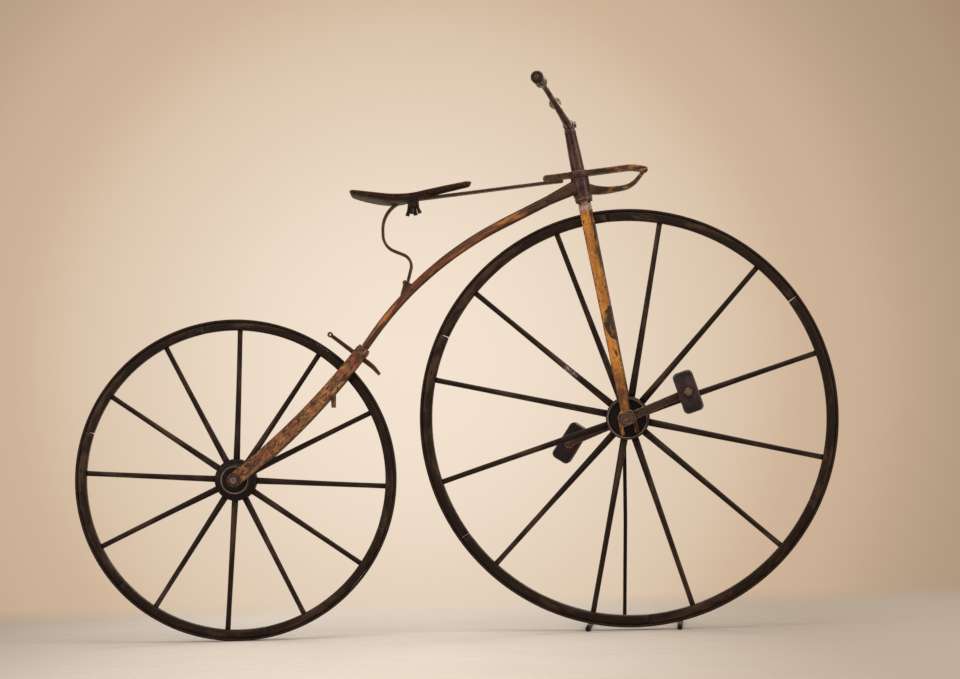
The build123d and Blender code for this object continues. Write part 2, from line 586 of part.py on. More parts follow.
# Rear crown, slotted for the brake lever, and the two rear fork legs
lever_slot = LEVER_THICKNESS + 2 * LEVER_SLOT_GAP
rear_crown = crown_block - crown_frame * Box(LEVER_SLOT_LENGTH, lever_slot, 2 * CROWN_HEIGHT)
rear_crown -= crown_frame * Rot(90, 0, 0) * Cylinder(LEVER_PIN_RADIUS, 2 * CROWN_WIDTH)
nodes["rear_crown"] = rear_crown

leg_top = crown_at + CROWN_LENGTH / 2
plan = make_face(Polyline((-LEG_WIDTH_AXLE, leg_inner), (LEG_STRAIGHT, leg_inner),
                          (crown_at - CROWN_LENGTH / 2, CROWN_WIDTH / 2), (2 * leg_top, CROWN_WIDTH / 2),
                          (2 * leg_top, CROWN_WIDTH / 2 + LEG_THICKNESS),
                          (crown_at - CROWN_LENGTH / 2, CROWN_WIDTH / 2 + LEG_THICKNESS),
                          (LEG_STRAIGHT, leg_outer), (-LEG_WIDTH_AXLE, leg_outer), close=True))
half_axle = LEG_WIDTH_AXLE / 2
half_crown = LEG_WIDTH_CROWN / 2
half_middle = (half_axle + half_crown) / 2
leg_side = between(
    ThreePointArc((0, half_axle), (crown_at / 2, half_middle - LEG_SAG), (crown_at, half_crown)),
    ThreePointArc((0, -half_axle), (crown_at / 2, -half_middle - LEG_SAG), (crown_at, -half_crown)))
tip_end = CROWN_LENGTH / 2
tip_start = tip_end - LEG_TIP_CUT
tip = make_face(Polyline((-LEG_TIP_CUT, -half_crown), (tip_start, -half_crown), (tip_end, -LEG_TIP / 2),
                         (tip_end, LEG_TIP / 2), (tip_start, half_crown), (-LEG_TIP_CUT, half_crown),
                         close=True))
leg_side += Circle(half_axle) + Pos(crown_at, 0) * Rot(0, 0, crown_angle - LEG_ANGLE) * tip
leg_side -= Circle(REAR_AXLE_RADIUS)
leg_side -= Pos(crown_at, 0) * Circle(LEVER_PIN_RADIUS)
leg = extrude(plan, LEG_WIDTH_CROWN + LEG_SAG, both=True)
leg &= Rot(90, 0, 0) * extrude(leg_side, 2 * leg_outer, both=True)
leg_frame = Location((0, 0, REAR_RADIUS), (0, -LEG_ANGLE, 0))
nodes["rear_leg_left"] = leg_frame * leg
nodes["rear_leg_right"] = mirrored(leg_frame * leg)
nut_end = leg_outer + REAR_NUT_THICKNESS
rear_stub = nut_end + REAR_AXLE_STUB
nodes["rear_axle"] = rear_axle_frame * (Cylinder(REAR_AXLE_RADIUS, 2 * nut_end)
                                        + Cylinder(REAR_STUB_RADIUS, 2 * rear_stub))
rear_nut = hexagon(REAR_NUT_ACROSS, REAR_NUT_THICKNESS, leg_outer) - Cylinder(REAR_AXLE_RADIUS, 4 * rear_stub)
nodes["rear_axle_nuts"] = rear_axle_frame * Compound([rear_nut, mirror(rear_nut, Plane.XY)])

# Leaf spring, from under the spring arm back past the saddle and round in a scroll to its bracket
spring_half = SPRING_THICKNESS / 2
front_x = arm_back[0] + SPRING_LAP
front_z = head_z + ARM_HEIGHT - ARM_SLOPE * (ARM_REACH_BACK - SPRING_LAP) - arm_half - spring_half
spine_line = FilletPolyline(*spine, radius=bend_radii(spine, (BACKBONE_BEND,)))
foot = spine_line @ BRACKET_ALONG
tail = (foot.X + BRACKET_LEAN, foot.Y + BRACKET_HEIGHT)
scroll_top = (tail[0] - SCROLL_SETBACK, front_z - SPRING_DROP)
scroll_rise = scroll_top[1] - tail[1]
leaf = ((front_x, front_z), (arm_back[0], front_z - ARM_SLOPE * SPRING_LAP), scroll_top,
        (scroll_top[0], tail[1] + SCROLL_WAIST[0] * scroll_rise),
        (tail[0] + SCROLL_BULGE, tail[1] + SCROLL_WAIST[1] * scroll_rise), tail)
leaf_spring = slab(ribbon(leaf, (spring_half,) * len(leaf), SPRING_BENDS), SPRING_WIDTH)
nodes["leaf_spring"] = leaf_spring - spring_arm

# Bracket: a short post on the backbone with an eye that carries the spring's lower end
bracket = slab(ribbon((tail, (foot.X, foot.Y)), BRACKET_HALVES, ()), BRACKET_WIDTH)
eye = Rot(90, 0, 0) * Cylinder(BRACKET_EYE_RADIUS, BRACKET_WIDTH)
bracket += Pos(tail[0] - BRACKET_EYE_RADIUS, 0, tail[1]) * eye
bracket -= leaf_spring
bracket -= backbone
nodes["spring_bracket"] = bracket.solids().sort_by(Axis.Z)[-1]

# Saddle: a dished strip in side view, a pear in plan
saddle_back = scroll_top[0] - SADDLE_BEHIND_SCROLL
saddle_nose = saddle_back + SADDLE_LENGTH
saddle_line = []
for share, rise in zip(SADDLE_ALONG, SADDLE_RISES):
    saddle_line.append((saddle_back + share * SADDLE_LENGTH, scroll_top[1] + rise))
saddle_side = ribbon(saddle_line, SADDLE_HALVES, SADDLE_BENDS)
half_wide = SADDLE_WIDTH / 2
half_nose = SADDLE_NOSE_WIDTH / 2
outline = FilletPolyline((saddle_nose, 0), (saddle_nose, half_nose),
                         (saddle_back + SADDLE_NECK * SADDLE_LENGTH, half_nose),
                         (saddle_back + SADDLE_SEAT * SADDLE_LENGTH, half_wide),
                         (saddle_back, SADDLE_TAIL_SHARE * half_wide), (saddle_back, 0), radius=SADDLE_ROUNDS)
saddle_plan = make_face(outline + mirror(outline, Plane.XZ))
saddle = slab(saddle_side, 2 * SADDLE_WIDTH) & extrude(saddle_plan, 2 * front_z, both=True)
saddle -= leaf_spring
saddle_top = saddle & Pos(0, 0, PAN_THICKNESS) * slab(saddle_side, 2 * SADDLE_WIDTH)
nodes["saddle_leather"] = saddle_top
nodes["saddle_pan"] = saddle - saddle_top

# Clamp and lacing ends under the saddle
clamp_x = saddle_back + CLAMP_SETBACK
clamp_z = scroll_top[1] + CLAMP_RISE
clamp = Pos(clamp_x, 0, clamp_z) * Box(CLAMP_LENGTH, SPRING_WIDTH, CLAMP_HEIGHT) - leaf_spring - saddle
clamp = clamp.solids().sort_by(Axis.Z)[0]
nodes["saddle_clamp"] = clamp
clamp_floor = clamp.bounding_box().min.Z
laces = []
for i in range(LACE_COUNT):
    step = i - (LACE_COUNT - 1) / 2
    lace = Rot(0, -step * LACE_SPREAD, 0) * extrude(Circle(LACE_RADIUS), -LACE_LENGTH)
    laces.append(Pos(clamp_x + step * LACE_PITCH, 0, clamp_floor) * lace - clamp)
nodes["saddle_lacing"] = Compound(laces)

# Brake lever, its pivot pin and the step peg
lever_points = [(crown_centre.X + x, crown_centre.Y + z) for x, z in LEVER_LINE]
lever_side = ribbon(lever_points, LEVER_HALVES, LEVER_BENDS)
lever_side += Pos(*lever_points[0]) * Circle(LEVER_EYE_RADIUS)
lever_side -= Pos(*lever_points[0]) * Circle(LEVER_EYE_HOLE)
lever_side -= Pos(crown_centre.X, crown_centre.Y) * Circle(LEVER_PIN_RADIUS)
nodes["brake_lever"] = slab(lever_side, LEVER_THICKNESS)
pin_reach = CROWN_WIDTH + 2 * LEG_THICKNESS
nodes["brake_pivot"] = crown_frame * Rot(90, 0, 0) * Cylinder(LEVER_PIN_RADIUS, pin_reach)

right_leg = nodes["rear_leg_right"]
peg_slope = (leg_inner - CROWN_WIDTH / 2) / (crown_at - CROWN_LENGTH / 2 - LEG_STRAIGHT)
peg_y = -(leg_inner + LEG_THICKNESS / 2 - peg_slope * (PEG_ALONG_LEG - LEG_STRAIGHT))
peg = turned((0, -PEG_LENGTH), (PEG_RADIUS_BOTTOM, -PEG_LENGTH), (PEG_RADIUS_TOP, 0), (0, 0))
peg = Pos(leg_dir.X * PEG_ALONG_LEG, peg_y, REAR_RADIUS + leg_dir.Y * PEG_ALONG_LEG) * peg
nodes["step_peg"] = (peg - right_leg).solids().sort_by(Axis.Z)[0]

# Display stand: two floor prongs, a crossbar, a bent upright and the cradle under the left fork end
prong = tube(PRONG_RADIUS, (0, -PRONG_NEAR_END, PRONG_RADIUS), (0, PRONG_FAR_END, PRONG_RADIUS))
crossbar = tube(PRONG_RADIUS, (-prong_half, PRONG_FAR_END, PRONG_RADIUS),
                (prong_half, PRONG_FAR_END, PRONG_RADIUS))
prongs = {"front": Pos(prong_half, 0, 0) * prong, "rear": Pos(-prong_half, 0, 0) * prong}
for name, part in prongs.items():
    nodes["stand_prong_" + name] = stand_frame * part
    crossbar -= part
nodes["stand_crossbar"] = stand_frame * crossbar

cradle_top = -FORK_END_DROP
cradle = Pos(0, fork_middle, cradle_top - CRADLE_THICKNESS / 2) * Box(
    FORK_END_WIDTH + 2 * CRADLE_OVERHANG, FORK_END_THICKNESS, CRADLE_THICKNESS)
nodes["stand_cradle"] = steer_frame * cradle
upright_path = FilletPolyline((-UPRIGHT_BACK_FOOT, PRONG_FAR_END, PRONG_RADIUS),
                              (-UPRIGHT_BACK_KNEE, fork_middle, UPRIGHT_KNEE),
                              (-UPRIGHT_BACK_TOP, fork_middle, front_axle_z), radius=UPRIGHT_BEND)
upright = sweep(Plane(upright_path @ 0, z_dir=upright_path % 0) * Circle(UPRIGHT_RADIUS), upright_path)
upright -= crossbar
upright = stand_frame * upright
upright -= steer_frame * Pos(0, fork_middle, cradle_top - CRADLE_THICKNESS) * extrude(
    Rectangle(front_axle_z, FRONT_HUB_HALF), front_axle_z)
nodes["stand_upright"] = upright.solids().sort_by(Axis.Z)[-1]

# Centre the part on its own box and write one file for each piece
boxes = [part.bounding_box() for part in nodes.values()]
middle_x = (min(box.min.X for box in boxes) + max(box.max.X for box in boxes)) / 2
middle_y = (min(box.min.Y for box in boxes) + max(box.max.Y for box in boxes)) / 2
os.makedirs("parts", exist_ok=True)
for name, part in nodes.items():
    export_step(Pos(-middle_x, -middle_y, 0) * part, f"parts/{name}.step")
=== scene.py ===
import json
from math import cos, pi, radians, sin

import bmesh
import bpy
import numpy as np
from mathutils import Matrix, Vector, noise

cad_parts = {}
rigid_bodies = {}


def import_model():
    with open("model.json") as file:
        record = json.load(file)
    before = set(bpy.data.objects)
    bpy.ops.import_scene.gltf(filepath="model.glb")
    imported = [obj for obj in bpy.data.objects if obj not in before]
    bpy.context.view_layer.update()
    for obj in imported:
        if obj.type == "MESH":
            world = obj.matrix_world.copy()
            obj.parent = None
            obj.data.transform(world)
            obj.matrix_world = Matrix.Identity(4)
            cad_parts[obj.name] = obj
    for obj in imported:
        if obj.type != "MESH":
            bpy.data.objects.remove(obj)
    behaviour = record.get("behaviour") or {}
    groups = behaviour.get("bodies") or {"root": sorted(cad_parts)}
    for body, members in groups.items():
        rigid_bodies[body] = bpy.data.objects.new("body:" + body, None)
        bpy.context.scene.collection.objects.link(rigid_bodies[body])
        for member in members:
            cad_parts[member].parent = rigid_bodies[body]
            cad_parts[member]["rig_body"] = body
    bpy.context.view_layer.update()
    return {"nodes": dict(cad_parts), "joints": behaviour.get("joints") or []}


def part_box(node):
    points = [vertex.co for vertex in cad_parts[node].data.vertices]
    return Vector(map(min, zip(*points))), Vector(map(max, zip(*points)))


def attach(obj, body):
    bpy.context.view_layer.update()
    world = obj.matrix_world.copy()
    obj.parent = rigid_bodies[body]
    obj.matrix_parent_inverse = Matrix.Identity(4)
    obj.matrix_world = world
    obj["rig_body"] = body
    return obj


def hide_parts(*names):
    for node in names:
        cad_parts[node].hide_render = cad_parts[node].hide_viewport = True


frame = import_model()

# Velocipede with wooden wheels and iron tyres on its display stand, in the CAD frame.
# Lengths are given in millimetres and stored in metres.
MM = 0.001
scene = bpy.context.scene
joints = {joint["name"]: joint for joint in frame["joints"]}
front_axle = Vector(joints["front_wheel_spin"]["pos_m"])
rear_axle = Vector(joints["rear_wheel_spin"]["pos_m"])
axle_dir = Vector(joints["front_wheel_spin"]["axis"]).normalized()
steer_dir = Vector(joints["steering"]["axis"]).normalized()
FORWARD, LEFT, UP = Vector((1, 0, 0)), Vector((0, 1, 0)), Vector((0, 0, 1))


def placed(origin, x, y, z):
    """The frame with these axes at origin."""
    return Matrix.Translation(origin) @ Matrix((x, y, z)).transposed().to_4x4()


def aimed(origin, z):
    """A frame at origin whose Z axis points along z."""
    z = z.normalized()
    side = FORWARD if abs(z.x) < 0.8 else UP
    y = z.cross(side).normalized()
    return placed(origin, y.cross(z), y, z)


# Frames: each wheel flat with its right side up, the parked steering, and the machine from its rear axle
level = (FORWARD - axle_dir * axle_dir.x).normalized()
FRONT_FLAT = placed(front_axle, level, level.cross(axle_dir), -axle_dir)
REAR_FLAT = placed(rear_axle, FORWARD, UP, -LEFT)
STEER = placed(front_axle, axle_dir.cross(steer_dir), axle_dir, steer_dir)
BAR_TURN = -0.9
BAR = STEER @ Matrix.Rotation(radians(BAR_TURN), 4, "Z")
MACHINE = Matrix.Translation((rear_axle.x, rear_axle.y, 0))


# Drawing
def curved(start, corner, end, t):
    """The point at share t of a curve from start to end that bends towards a corner."""
    return start * (1 - t) ** 2 + corner * 2 * t * (1 - t) + end * t**2


def softened(corners, radius, steps=3, closed=True):
    """An outline with its corners rounded off."""
    spots = [Vector(corner) for corner in corners]
    count = len(spots)
    soft = []
    for i, spot in enumerate(spots):
        if not closed and i in (0, count - 1):
            soft.append(spot)
            continue
        before, after = spots[i - 1] - spot, spots[(i + 1) % count] - spot
        reach = min(radius, 0.45 * before.length, 0.45 * after.length)
        start, end = spot + before.normalized() * reach, spot + after.normalized() * reach
        soft += [curved(start, spot, end, k / steps) for k in range(steps + 1)]
    return [tuple(spot) for spot in soft]


def run_lengths(points):
    """Distance along a row of points, from the first."""
    spots = np.array(points, float)
    return np.concatenate(([0.0], np.cumsum(np.linalg.norm(np.diff(spots, axis=0), axis=1))))


class Shape:
    """Points, faces and grain coordinates of a piece while it is drawn, in millimetres."""

    def __init__(self):
        self.points, self.faces, self.flow = [], [], []

    def skin(self, rows, along, across, ring=False, tube=True, caps=False, swap=False):
        """Quads over rows of points. A ring closes on its first row, and a tube closes each row."""
        first = len(self.flow)
        base, n, m = len(self.points), len(rows), len(rows[0])
        for row in rows:
            self.points += [tuple(point) for point in row]
        for i in range(n if ring else n - 1):
            for j in range(m if tube else m - 1):
                a, b = (i + 1) % n, (j + 1) % m
                self.faces.append((base + i * m + j, base + i * m + b, base + a * m + b, base + a * m + j))
                self.flow += [(along[i], across[j], 0), (along[i], across[j + 1], 0),
                              (along[i + 1], across[j + 1], 0), (along[i + 1], across[j], 0)]
        if caps:
            for i in (0, n - 1):
                self.faces.append(tuple(base + i * m + j for j in range(m)))
                self.flow += [(along[i], point[0], point[1] + point[2]) for point in rows[i]]
        if swap:
            self.flow[first:] = [(y, x, z) for x, y, z in self.flow[first:]]
        return self

    def turned(self, profile, place=Matrix(), steps=96, closed=True, swap=False):
        """A form turned about place's Z axis from (radius, along) points."""
        rows = []
        for i in range(steps):
            turn = Matrix.Rotation(2 * pi * i / steps, 4, "Z")
            rows.append([place @ turn @ Vector((radius, 0, z)) for radius, z in profile])
        girth = 2 * pi * max(radius for radius, z in profile)
        around = [girth * i / steps for i in range(steps + 1)]
        loop = list(profile) + [profile[0]] if closed else profile
        return self.skin(rows, around, run_lengths(loop), ring=True, tube=closed, swap=swap)

    def swept(self, path, radii, sides=16, squash=1.0, up=UP, loop=False):
        """A round bar along a path, with a radius at each point; squash flattens it along up."""
        spots = [Vector(point) for point in path]
        last = len(spots) - 1
        rows = []
        for i, spot in enumerate(spots):
            if loop:
                run = (spots[(i + 1) % len(spots)] - spots[i - 1]).normalized()
            else:
                run = (spots[min(i + 1, last)] - spots[max(i - 1, 0)]).normalized()
            side = run.cross(up).normalized()
            rise = side.cross(run)
            row = []
            for k in range(sides):
                angle = 2 * pi * k / sides
                row.append(spot + (side * cos(angle) + rise * sin(angle) * squash) * radii[i])
            rows.append(row)
        girth = 2 * pi * max(radii)
        along = run_lengths(list(path) + [path[0]])
        around = [girth * k / sides for k in range(sides + 1)]
        return self.skin(rows, along, around, ring=loop, caps=not loop)

    def nut(self, across, low, high, bore, place=Matrix(), edge=1.6, sides=6, steps=72):
        """A nut or bolt head on place's Z axis with its corners turned off; without a bore it is domed."""
        flat = across / 2
        inner = [(bore, low), (bore, high)] if bore else [(0, low), (0, high + edge / 2)]
        rows = []
        for i in range(steps):
            angle = 2 * pi * i / steps
            corner = flat / cos((angle % (2 * pi / sides)) - pi / sides)
            rim = min(corner, flat * 1.04)
            outer = [(rim, low), (corner, low + edge), (corner, high - edge), (rim, high)]
            turn = place @ Matrix.Rotation(angle, 4, "Z")
            rows.append([turn @ Vector((radius, 0, z)) for radius, z in [inner[0], *outer, inner[1]]])
        around = [2 * pi * flat * i / steps for i in range(steps + 1)]
        across = [0, flat, flat + edge, flat + high - low, 2 * flat, 3 * flat, 4 * flat]
        return self.skin(rows, around, across, ring=True)

    def mesh(self, name, place=Matrix()):
        """The drawn shape as a mesh in metres, with its faces turned outwards."""
        mesh = bpy.data.meshes.new(name)
        mesh.from_pydata([place @ (Vector(point) * MM) for point in self.points], [], self.faces)
        layer = mesh.attributes.new("flow", "FLOAT_VECTOR", "CORNER")
        layer.data.foreach_set("vector", np.array(self.flow, np.float32).ravel() * MM)
        shape = bmesh.new()
        shape.from_mesh(mesh)
        bmesh.ops.remove_doubles(shape, verts=shape.verts, dist=0.00002)
        bmesh.ops.dissolve_degenerate(shape, edges=shape.edges, dist=0.000001)
        bmesh.ops.recalc_face_normals(shape, faces=shape.faces)
        shape.to_mesh(mesh)
        shape.free()
        return mesh


# Surfaces
def neighbours(mesh):
    """Point places, edges and the number of edges at each point."""
    places = np.empty(len(mesh.vertices) * 3)
    mesh.vertices.foreach_get("co", places)
    edges = np.empty(len(mesh.edges) * 2, np.int64)
    mesh.edges.foreach_get("vertices", edges)
    edges = edges.reshape(-1, 2)
    count = np.bincount(edges.ravel(), minlength=len(mesh.vertices)).clip(1)
    return places.reshape(-1, 3), edges, count


def averaged(values, edges, count):
    """Mean of each point's neighbours."""
    mean = np.empty_like(values)
    for k in range(values.shape[1]):
        column = values[:, k]
        total = np.bincount(edges[:, 0], column[edges[:, 1]], len(column))
        mean[:, k] = (total + np.bincount(edges[:, 1], column[edges[:, 0]], len(column))) / count
    return mean


def move_points(mesh, places):
    mesh.vertices.foreach_set("co", places.ravel())
    mesh.update()


def store_mark(mesh, name, values):
    """Stores a mark from 0 to 1 at each point."""
    layer = mesh.attributes.new(name, "FLOAT", "POINT")
    layer.data.foreach_set("value", np.clip(values, 0, 1).astype(np.float32))


def normals_of(mesh):
    """Outward direction at each point."""
    normals = np.empty(len(mesh.vertices) * 3, np.float32)
    mesh.vertex_normals.foreach_get("vector", normals)
    return normals.reshape(-1, 3).astype(float)


def mark_wear_and_shade(mesh, tight=3.0):
    """Stores how sharply the surface turns at each point: outwards as edge for wear, inwards as hollow for
    painted shade.
    """
    places, edges, count = neighbours(mesh)
    spans = np.linalg.norm(places[edges[:, 0]] - places[edges[:, 1]], axis=1)
    reach = sum(np.bincount(edges[:, k], spans, len(places)) for k in (0, 1)) / count
    bend = ((places - averaged(places, edges, count)) * normals_of(mesh)).sum(1)
    bend = (2 * tight * MM * bend / np.maximum(reach, 0.0001) ** 2)[:, None]
    for step in range(2):
        bend = 0.5 * bend + 0.5 * averaged(bend, edges, count)
    store_mark(mesh, "edge", bend[:, 0])
    store_mark(mesh, "hollow", -bend[:, 0])


def uneven(mesh, depth, size, fine=0.0, seed=0.0):
    """Presses the surface in and out by a smooth depth over a size, and a fine one over a ninth of it."""
    places = neighbours(mesh)[0]
    offsets = np.empty(len(places))
    for i, place in enumerate(places):
        spot = Vector(place) / (size * MM) + Vector((seed, seed, seed))
        offsets[i] = depth * noise.noise(spot) + fine * noise.noise(spot * 9)
    move_points(mesh, places + normals_of(mesh) * offsets[:, None] * MM)


def piece(name, mesh, body, finish, *nodes, tight=3.0):
    """A shown piece that rides on a body in place of CAD nodes; a smaller tight leaves fewer worn edges and
    less painted shade in hollows.
    """
    mark_wear_and_shade(mesh, tight)
    mesh.polygons.foreach_set("use_smooth", [True] * len(mesh.polygons))
    mesh.materials.clear()
    mesh.materials.append(finish.material)
    obj = bpy.data.objects.new(name, mesh)
    scene.collection.objects.link(obj)
    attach(obj, body)
    if nodes:
        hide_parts(*nodes)
    return obj


def forged(node, finish, voxel=1.5, rounds=3, depth=0.25, size=45.0, fine=0.05, line=None):
    """A hand-forged copy of a CAD node: edges worn round, flats slightly uneven, grain along its line."""
    source = frame["nodes"][node]
    shape = bmesh.new()
    shape.from_mesh(source.data)
    bmesh.ops.remove_doubles(shape, verts=shape.verts, dist=0.000002)
    draft = bpy.data.meshes.new(node + "_draft")
    shape.to_mesh(draft)
    shape.free()
    copy = bpy.data.objects.new(node + "_draft", draft)
    scene.collection.objects.link(copy)
    remesh = copy.modifiers.new("remesh", "REMESH")
    remesh.mode = "VOXEL"
    remesh.voxel_size = voxel * MM
    bpy.context.view_layer.update()
    mesh = bpy.data.meshes.new_from_object(copy.evaluated_get(bpy.context.evaluated_depsgraph_get()))
    bpy.data.objects.remove(copy)
    mesh.name = node + "_worn"
    places, edges, count = neighbours(mesh)
    for step in range(rounds):
        for push in (0.6, -0.45):
            places += push * (averaged(places, edges, count) - places)
    move_points(mesh, places)
    uneven(mesh, depth, size, fine, seed=len(node))
    store_flow(mesh, line)
    return piece(node + "_worn", mesh, source["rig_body"], finish, node)


def drawn(shape, name, place, body, finish, *nodes, rough=None, tight=3.0):
    """A piece from a drawn shape; rough gives uneven's depth, size, fine depth and seed."""
    mesh = shape.mesh(name, place)
    if rough:
        uneven(mesh, *rough)
    return piece(name, mesh, body, finish, *nodes, tight=tight)


def stand_in(shape, node, place, body, finish, rough=None, tight=3.0):
    """A piece drawn in place of one CAD node."""
    return drawn(shape, node + "_worn", place, body, finish, node, rough=rough, tight=tight)


def set_mark(obj, name, rule):
    """Stores a mark on a piece, given by a rule of place and normal."""
    places, normals = neighbours(obj.data)[0], normals_of(obj.data)
    values = [rule(Vector(place), Vector(normal)) for place, normal in zip(places, normals)]
    store_mark(obj.data, name, values)


def clear_wear_and_shade(obj, rule):
    """Takes the worn-edge and painted-shade marks away where a rule picks points."""
    for name in ("edge", "hollow"):
        marks = obj.data.attributes[name].data
        for vertex in obj.data.vertices:
            if rule(vertex.co):
                marks[vertex.index].value = 0.0


def repaint(obj, finish, rule):
    """Gives a second finish to the faces whose centres a rule picks."""
    obj.data.materials.append(finish.material)
    index = len(obj.data.materials) - 1
    for face in obj.data.polygons:
        if rule(face.center):
            face.material_index = index


def store_flow(mesh, line=None):
    """Stores grain coordinates: along the line, or along the longest direction, then across and up."""
    places = neighbours(mesh)[0]
    if line is None:
        middle = places.mean(0)
        spread = np.linalg.svd(places[:: max(1, len(places) // 4000)] - middle, full_matrices=False)[2]
        flow = (places - middle) @ spread.T
    else:
        spots = np.array([tuple(spot) for spot in line])
        lengths = run_lengths(spots)
        runs = np.gradient(spots, axis=0)
        runs /= np.linalg.norm(runs, axis=1)[:, None]
        nearest = np.array([np.argmin(((spots - place) ** 2).sum(1)) for place in places])
        off = places - spots[nearest]
        along = (off * runs[nearest]).sum(1)
        across = off - runs[nearest] * along[:, None]
        sides = np.cross(runs[nearest], (0.0, 1.0, 0.0))
        flow = np.stack((lengths[nearest] + along, across[:, 1], (across * sides).sum(1)), 1)
    corners = np.empty(len(mesh.loops), np.int64)
    mesh.loops.foreach_get("vertex_index", corners)
    layer = mesh.attributes.new("flow", "FLOAT_VECTOR", "CORNER")
    layer.data.foreach_set("vector", flow[corners].astype(np.float32).ravel())


def bent_line(corners, place=MACHINE, steps=40):
    """Points on a smooth line from the first corner to the last, drawn towards the others."""
    spots = [Vector(corner) for corner in corners]
    middles = [(a + b) / 2 for a, b in zip(spots, spots[1:])]
    stops = [spots[0]] + middles[1:-1] + [spots[-1]]
    line = []
    for start, corner, end in zip(stops, spots[1:-1], stops[1:]):
        line += [curved(start, corner, end, k / steps) for k in range(steps)]
    line.append(spots[-1])
    return [place @ (spot * MM) for spot in line]


# Finishes
def paint(red, green, blue):
    """A colour given as it looks on a screen."""
    levels = [level / 255 for level in (red, green, blue)]
    return [v / 12.92 if v <= 0.04045 else ((v + 0.055) / 1.055) ** 2.4 for v in levels] + [1.0]


def add_node(tree, kind, inputs, **settings):
    """A shader node with its settings; each input is fed by a socket or holds a constant."""
    made = tree.nodes.new("ShaderNode" + kind)
    for name, value in settings.items():
        setattr(made, name, value)
    for key, value in inputs.items():
        if isinstance(value, bpy.types.NodeSocket):
            tree.links.new(value, made.inputs[key])
        else:
            made.inputs[key].default_value = value
    return made


def add_span(tree, value, low, high, start=0.0, end=1.0):
    """Value from low to high turned into a share from start to end."""
    inputs = {"Value": value, "From Min": low, "From Max": high, "To Min": start, "To Max": end}
    return add_node(tree, "MapRange", inputs, clamp=True, interpolation_type="SMOOTHSTEP").outputs["Result"]


def add_math(tree, operation, a, b, **settings):
    return add_node(tree, "Math", {0: a, 1: b}, operation=operation, **settings).outputs[0]


def add_mix(tree, share, under, over):
    """The colour under, covered by the colour over by a share."""
    return add_node(tree, "Mix", {0: share, 6: under, 7: over}, data_type="RGBA").outputs[2]


class Finish:
    """A procedural material built up in layers on one shader."""

    def __init__(self, slot, colour, rough=(0.4, 0.6), metallic=0.0, coat=0.0, sheen=0.25, variant=""):
        self.slot = slot
        self.material = bpy.data.materials.new("finish_" + slot + variant)
        self.material.use_nodes = True
        self.tree = self.material.node_tree
        self.shader = self.tree.nodes["Principled BSDF"].inputs
        shares = {"Metallic": metallic, "Specular IOR Level": sheen, "Coat Weight": coat}
        for name, value in {**shares, "Coat Roughness": 0.25}.items():
            self.shader[name].default_value = value
        self.flow = add_node(self.tree, "Attribute", {}, attribute_name="flow").outputs["Vector"]
        self.colour = paint(*colour)
        self.normal = None
        gloss = add_span(self.tree, self.cloud(90, 5), 0.3, 0.7, *rough)
        self.tree.links.new(gloss, self.shader["Roughness"])

    def cloud(self, scale, detail, along=1, across=1, offset=(0, 0, 0), rough=0.6, twist=0.0):
        """Noise with features of about 1000 / scale millimetres, longer by 1 / along along the grain."""
        turn = add_node(self.tree, "Mapping", {"Vector": self.flow, "Location": offset})
        turn.inputs["Scale"].default_value = (along, across, 1)
        inputs = {"Vector": turn.outputs["Vector"], "Scale": scale, "Detail": detail}
        inputs.update({"Roughness": rough, "Distortion": twist})
        return add_node(self.tree, "TexNoise", inputs).outputs[0]

    def cover(self, share, colour):
        """Lays a colour over what is there by a share."""
        self.colour = add_mix(self.tree, share, self.colour, paint(*colour))
        self.tree.links.new(self.colour, self.shader["Base Color"])
        return self

    def marked(self, colour, mark, low, high, amount, broken):
        """A colour where a mark on the piece lies above low, full from high, broken up by a share."""
        value = add_node(self.tree, "Attribute", {}, attribute_name=mark).outputs["Fac"]
        share = add_span(self.tree, value, low, high, 0, amount)
        return self.cover(add_math(self.tree, "MULTIPLY", share, broken), colour)

    def patches(self, colour, scale, low, high, amount, along=1, offset=(0, 0, 0), across=1):
        """Patches of a colour where noise lies above low, full from high."""
        value = self.cloud(scale, 7, along, across, offset, 0.62, 0.4)
        return self.cover(add_span(self.tree, value, low, high, 0, amount), colour)

    def worn(self, colour, low, high, amount, mark="edge"):
        """A colour where a curvature mark is high: along worn edges, and with the hollow mark, painted shade
        in the hollows.
        """
        broken = add_span(self.tree, self.cloud(120, 5), 0.32, 0.6)
        return self.marked(colour, mark, low, high, amount, broken)

    def hollow_shade(self, colour, amount=0.9):
        """Painted shade: a dark colour laid in the hollows and corners."""
        return self.worn(colour, 0.1, 0.5, amount, "hollow")

    def along(self, colour, mark, low, high, amount, scale, low_noise=0.3, high_noise=0.62):
        """A colour where a mark on the piece lies above low, broken up by noise along the grain."""
        broken = add_span(self.tree, self.cloud(scale, 6, 0.35), low_noise, high_noise)
        return self.marked(colour, mark, low, high, amount, broken)

    def relief(self, depth, scale, along=1, across=1):
        """Bumps of a depth in millimetres, on top of those that are there."""
        height = self.cloud(scale, 5, along, across)
        inputs = {"Height": height, "Strength": 1.0, "Distance": depth * MM}
        if self.normal is not None:
            inputs["Normal"] = self.normal
        self.normal = add_node(self.tree, "Bump", inputs).outputs["Normal"]
        self.tree.links.new(self.normal, self.shader["Normal"])
        return self


# In the finishes below, the dark colour laid in the hollows is painted shade.
# Grain of sawn wood: features twenty times as long as wide
GRAIN = 0.05

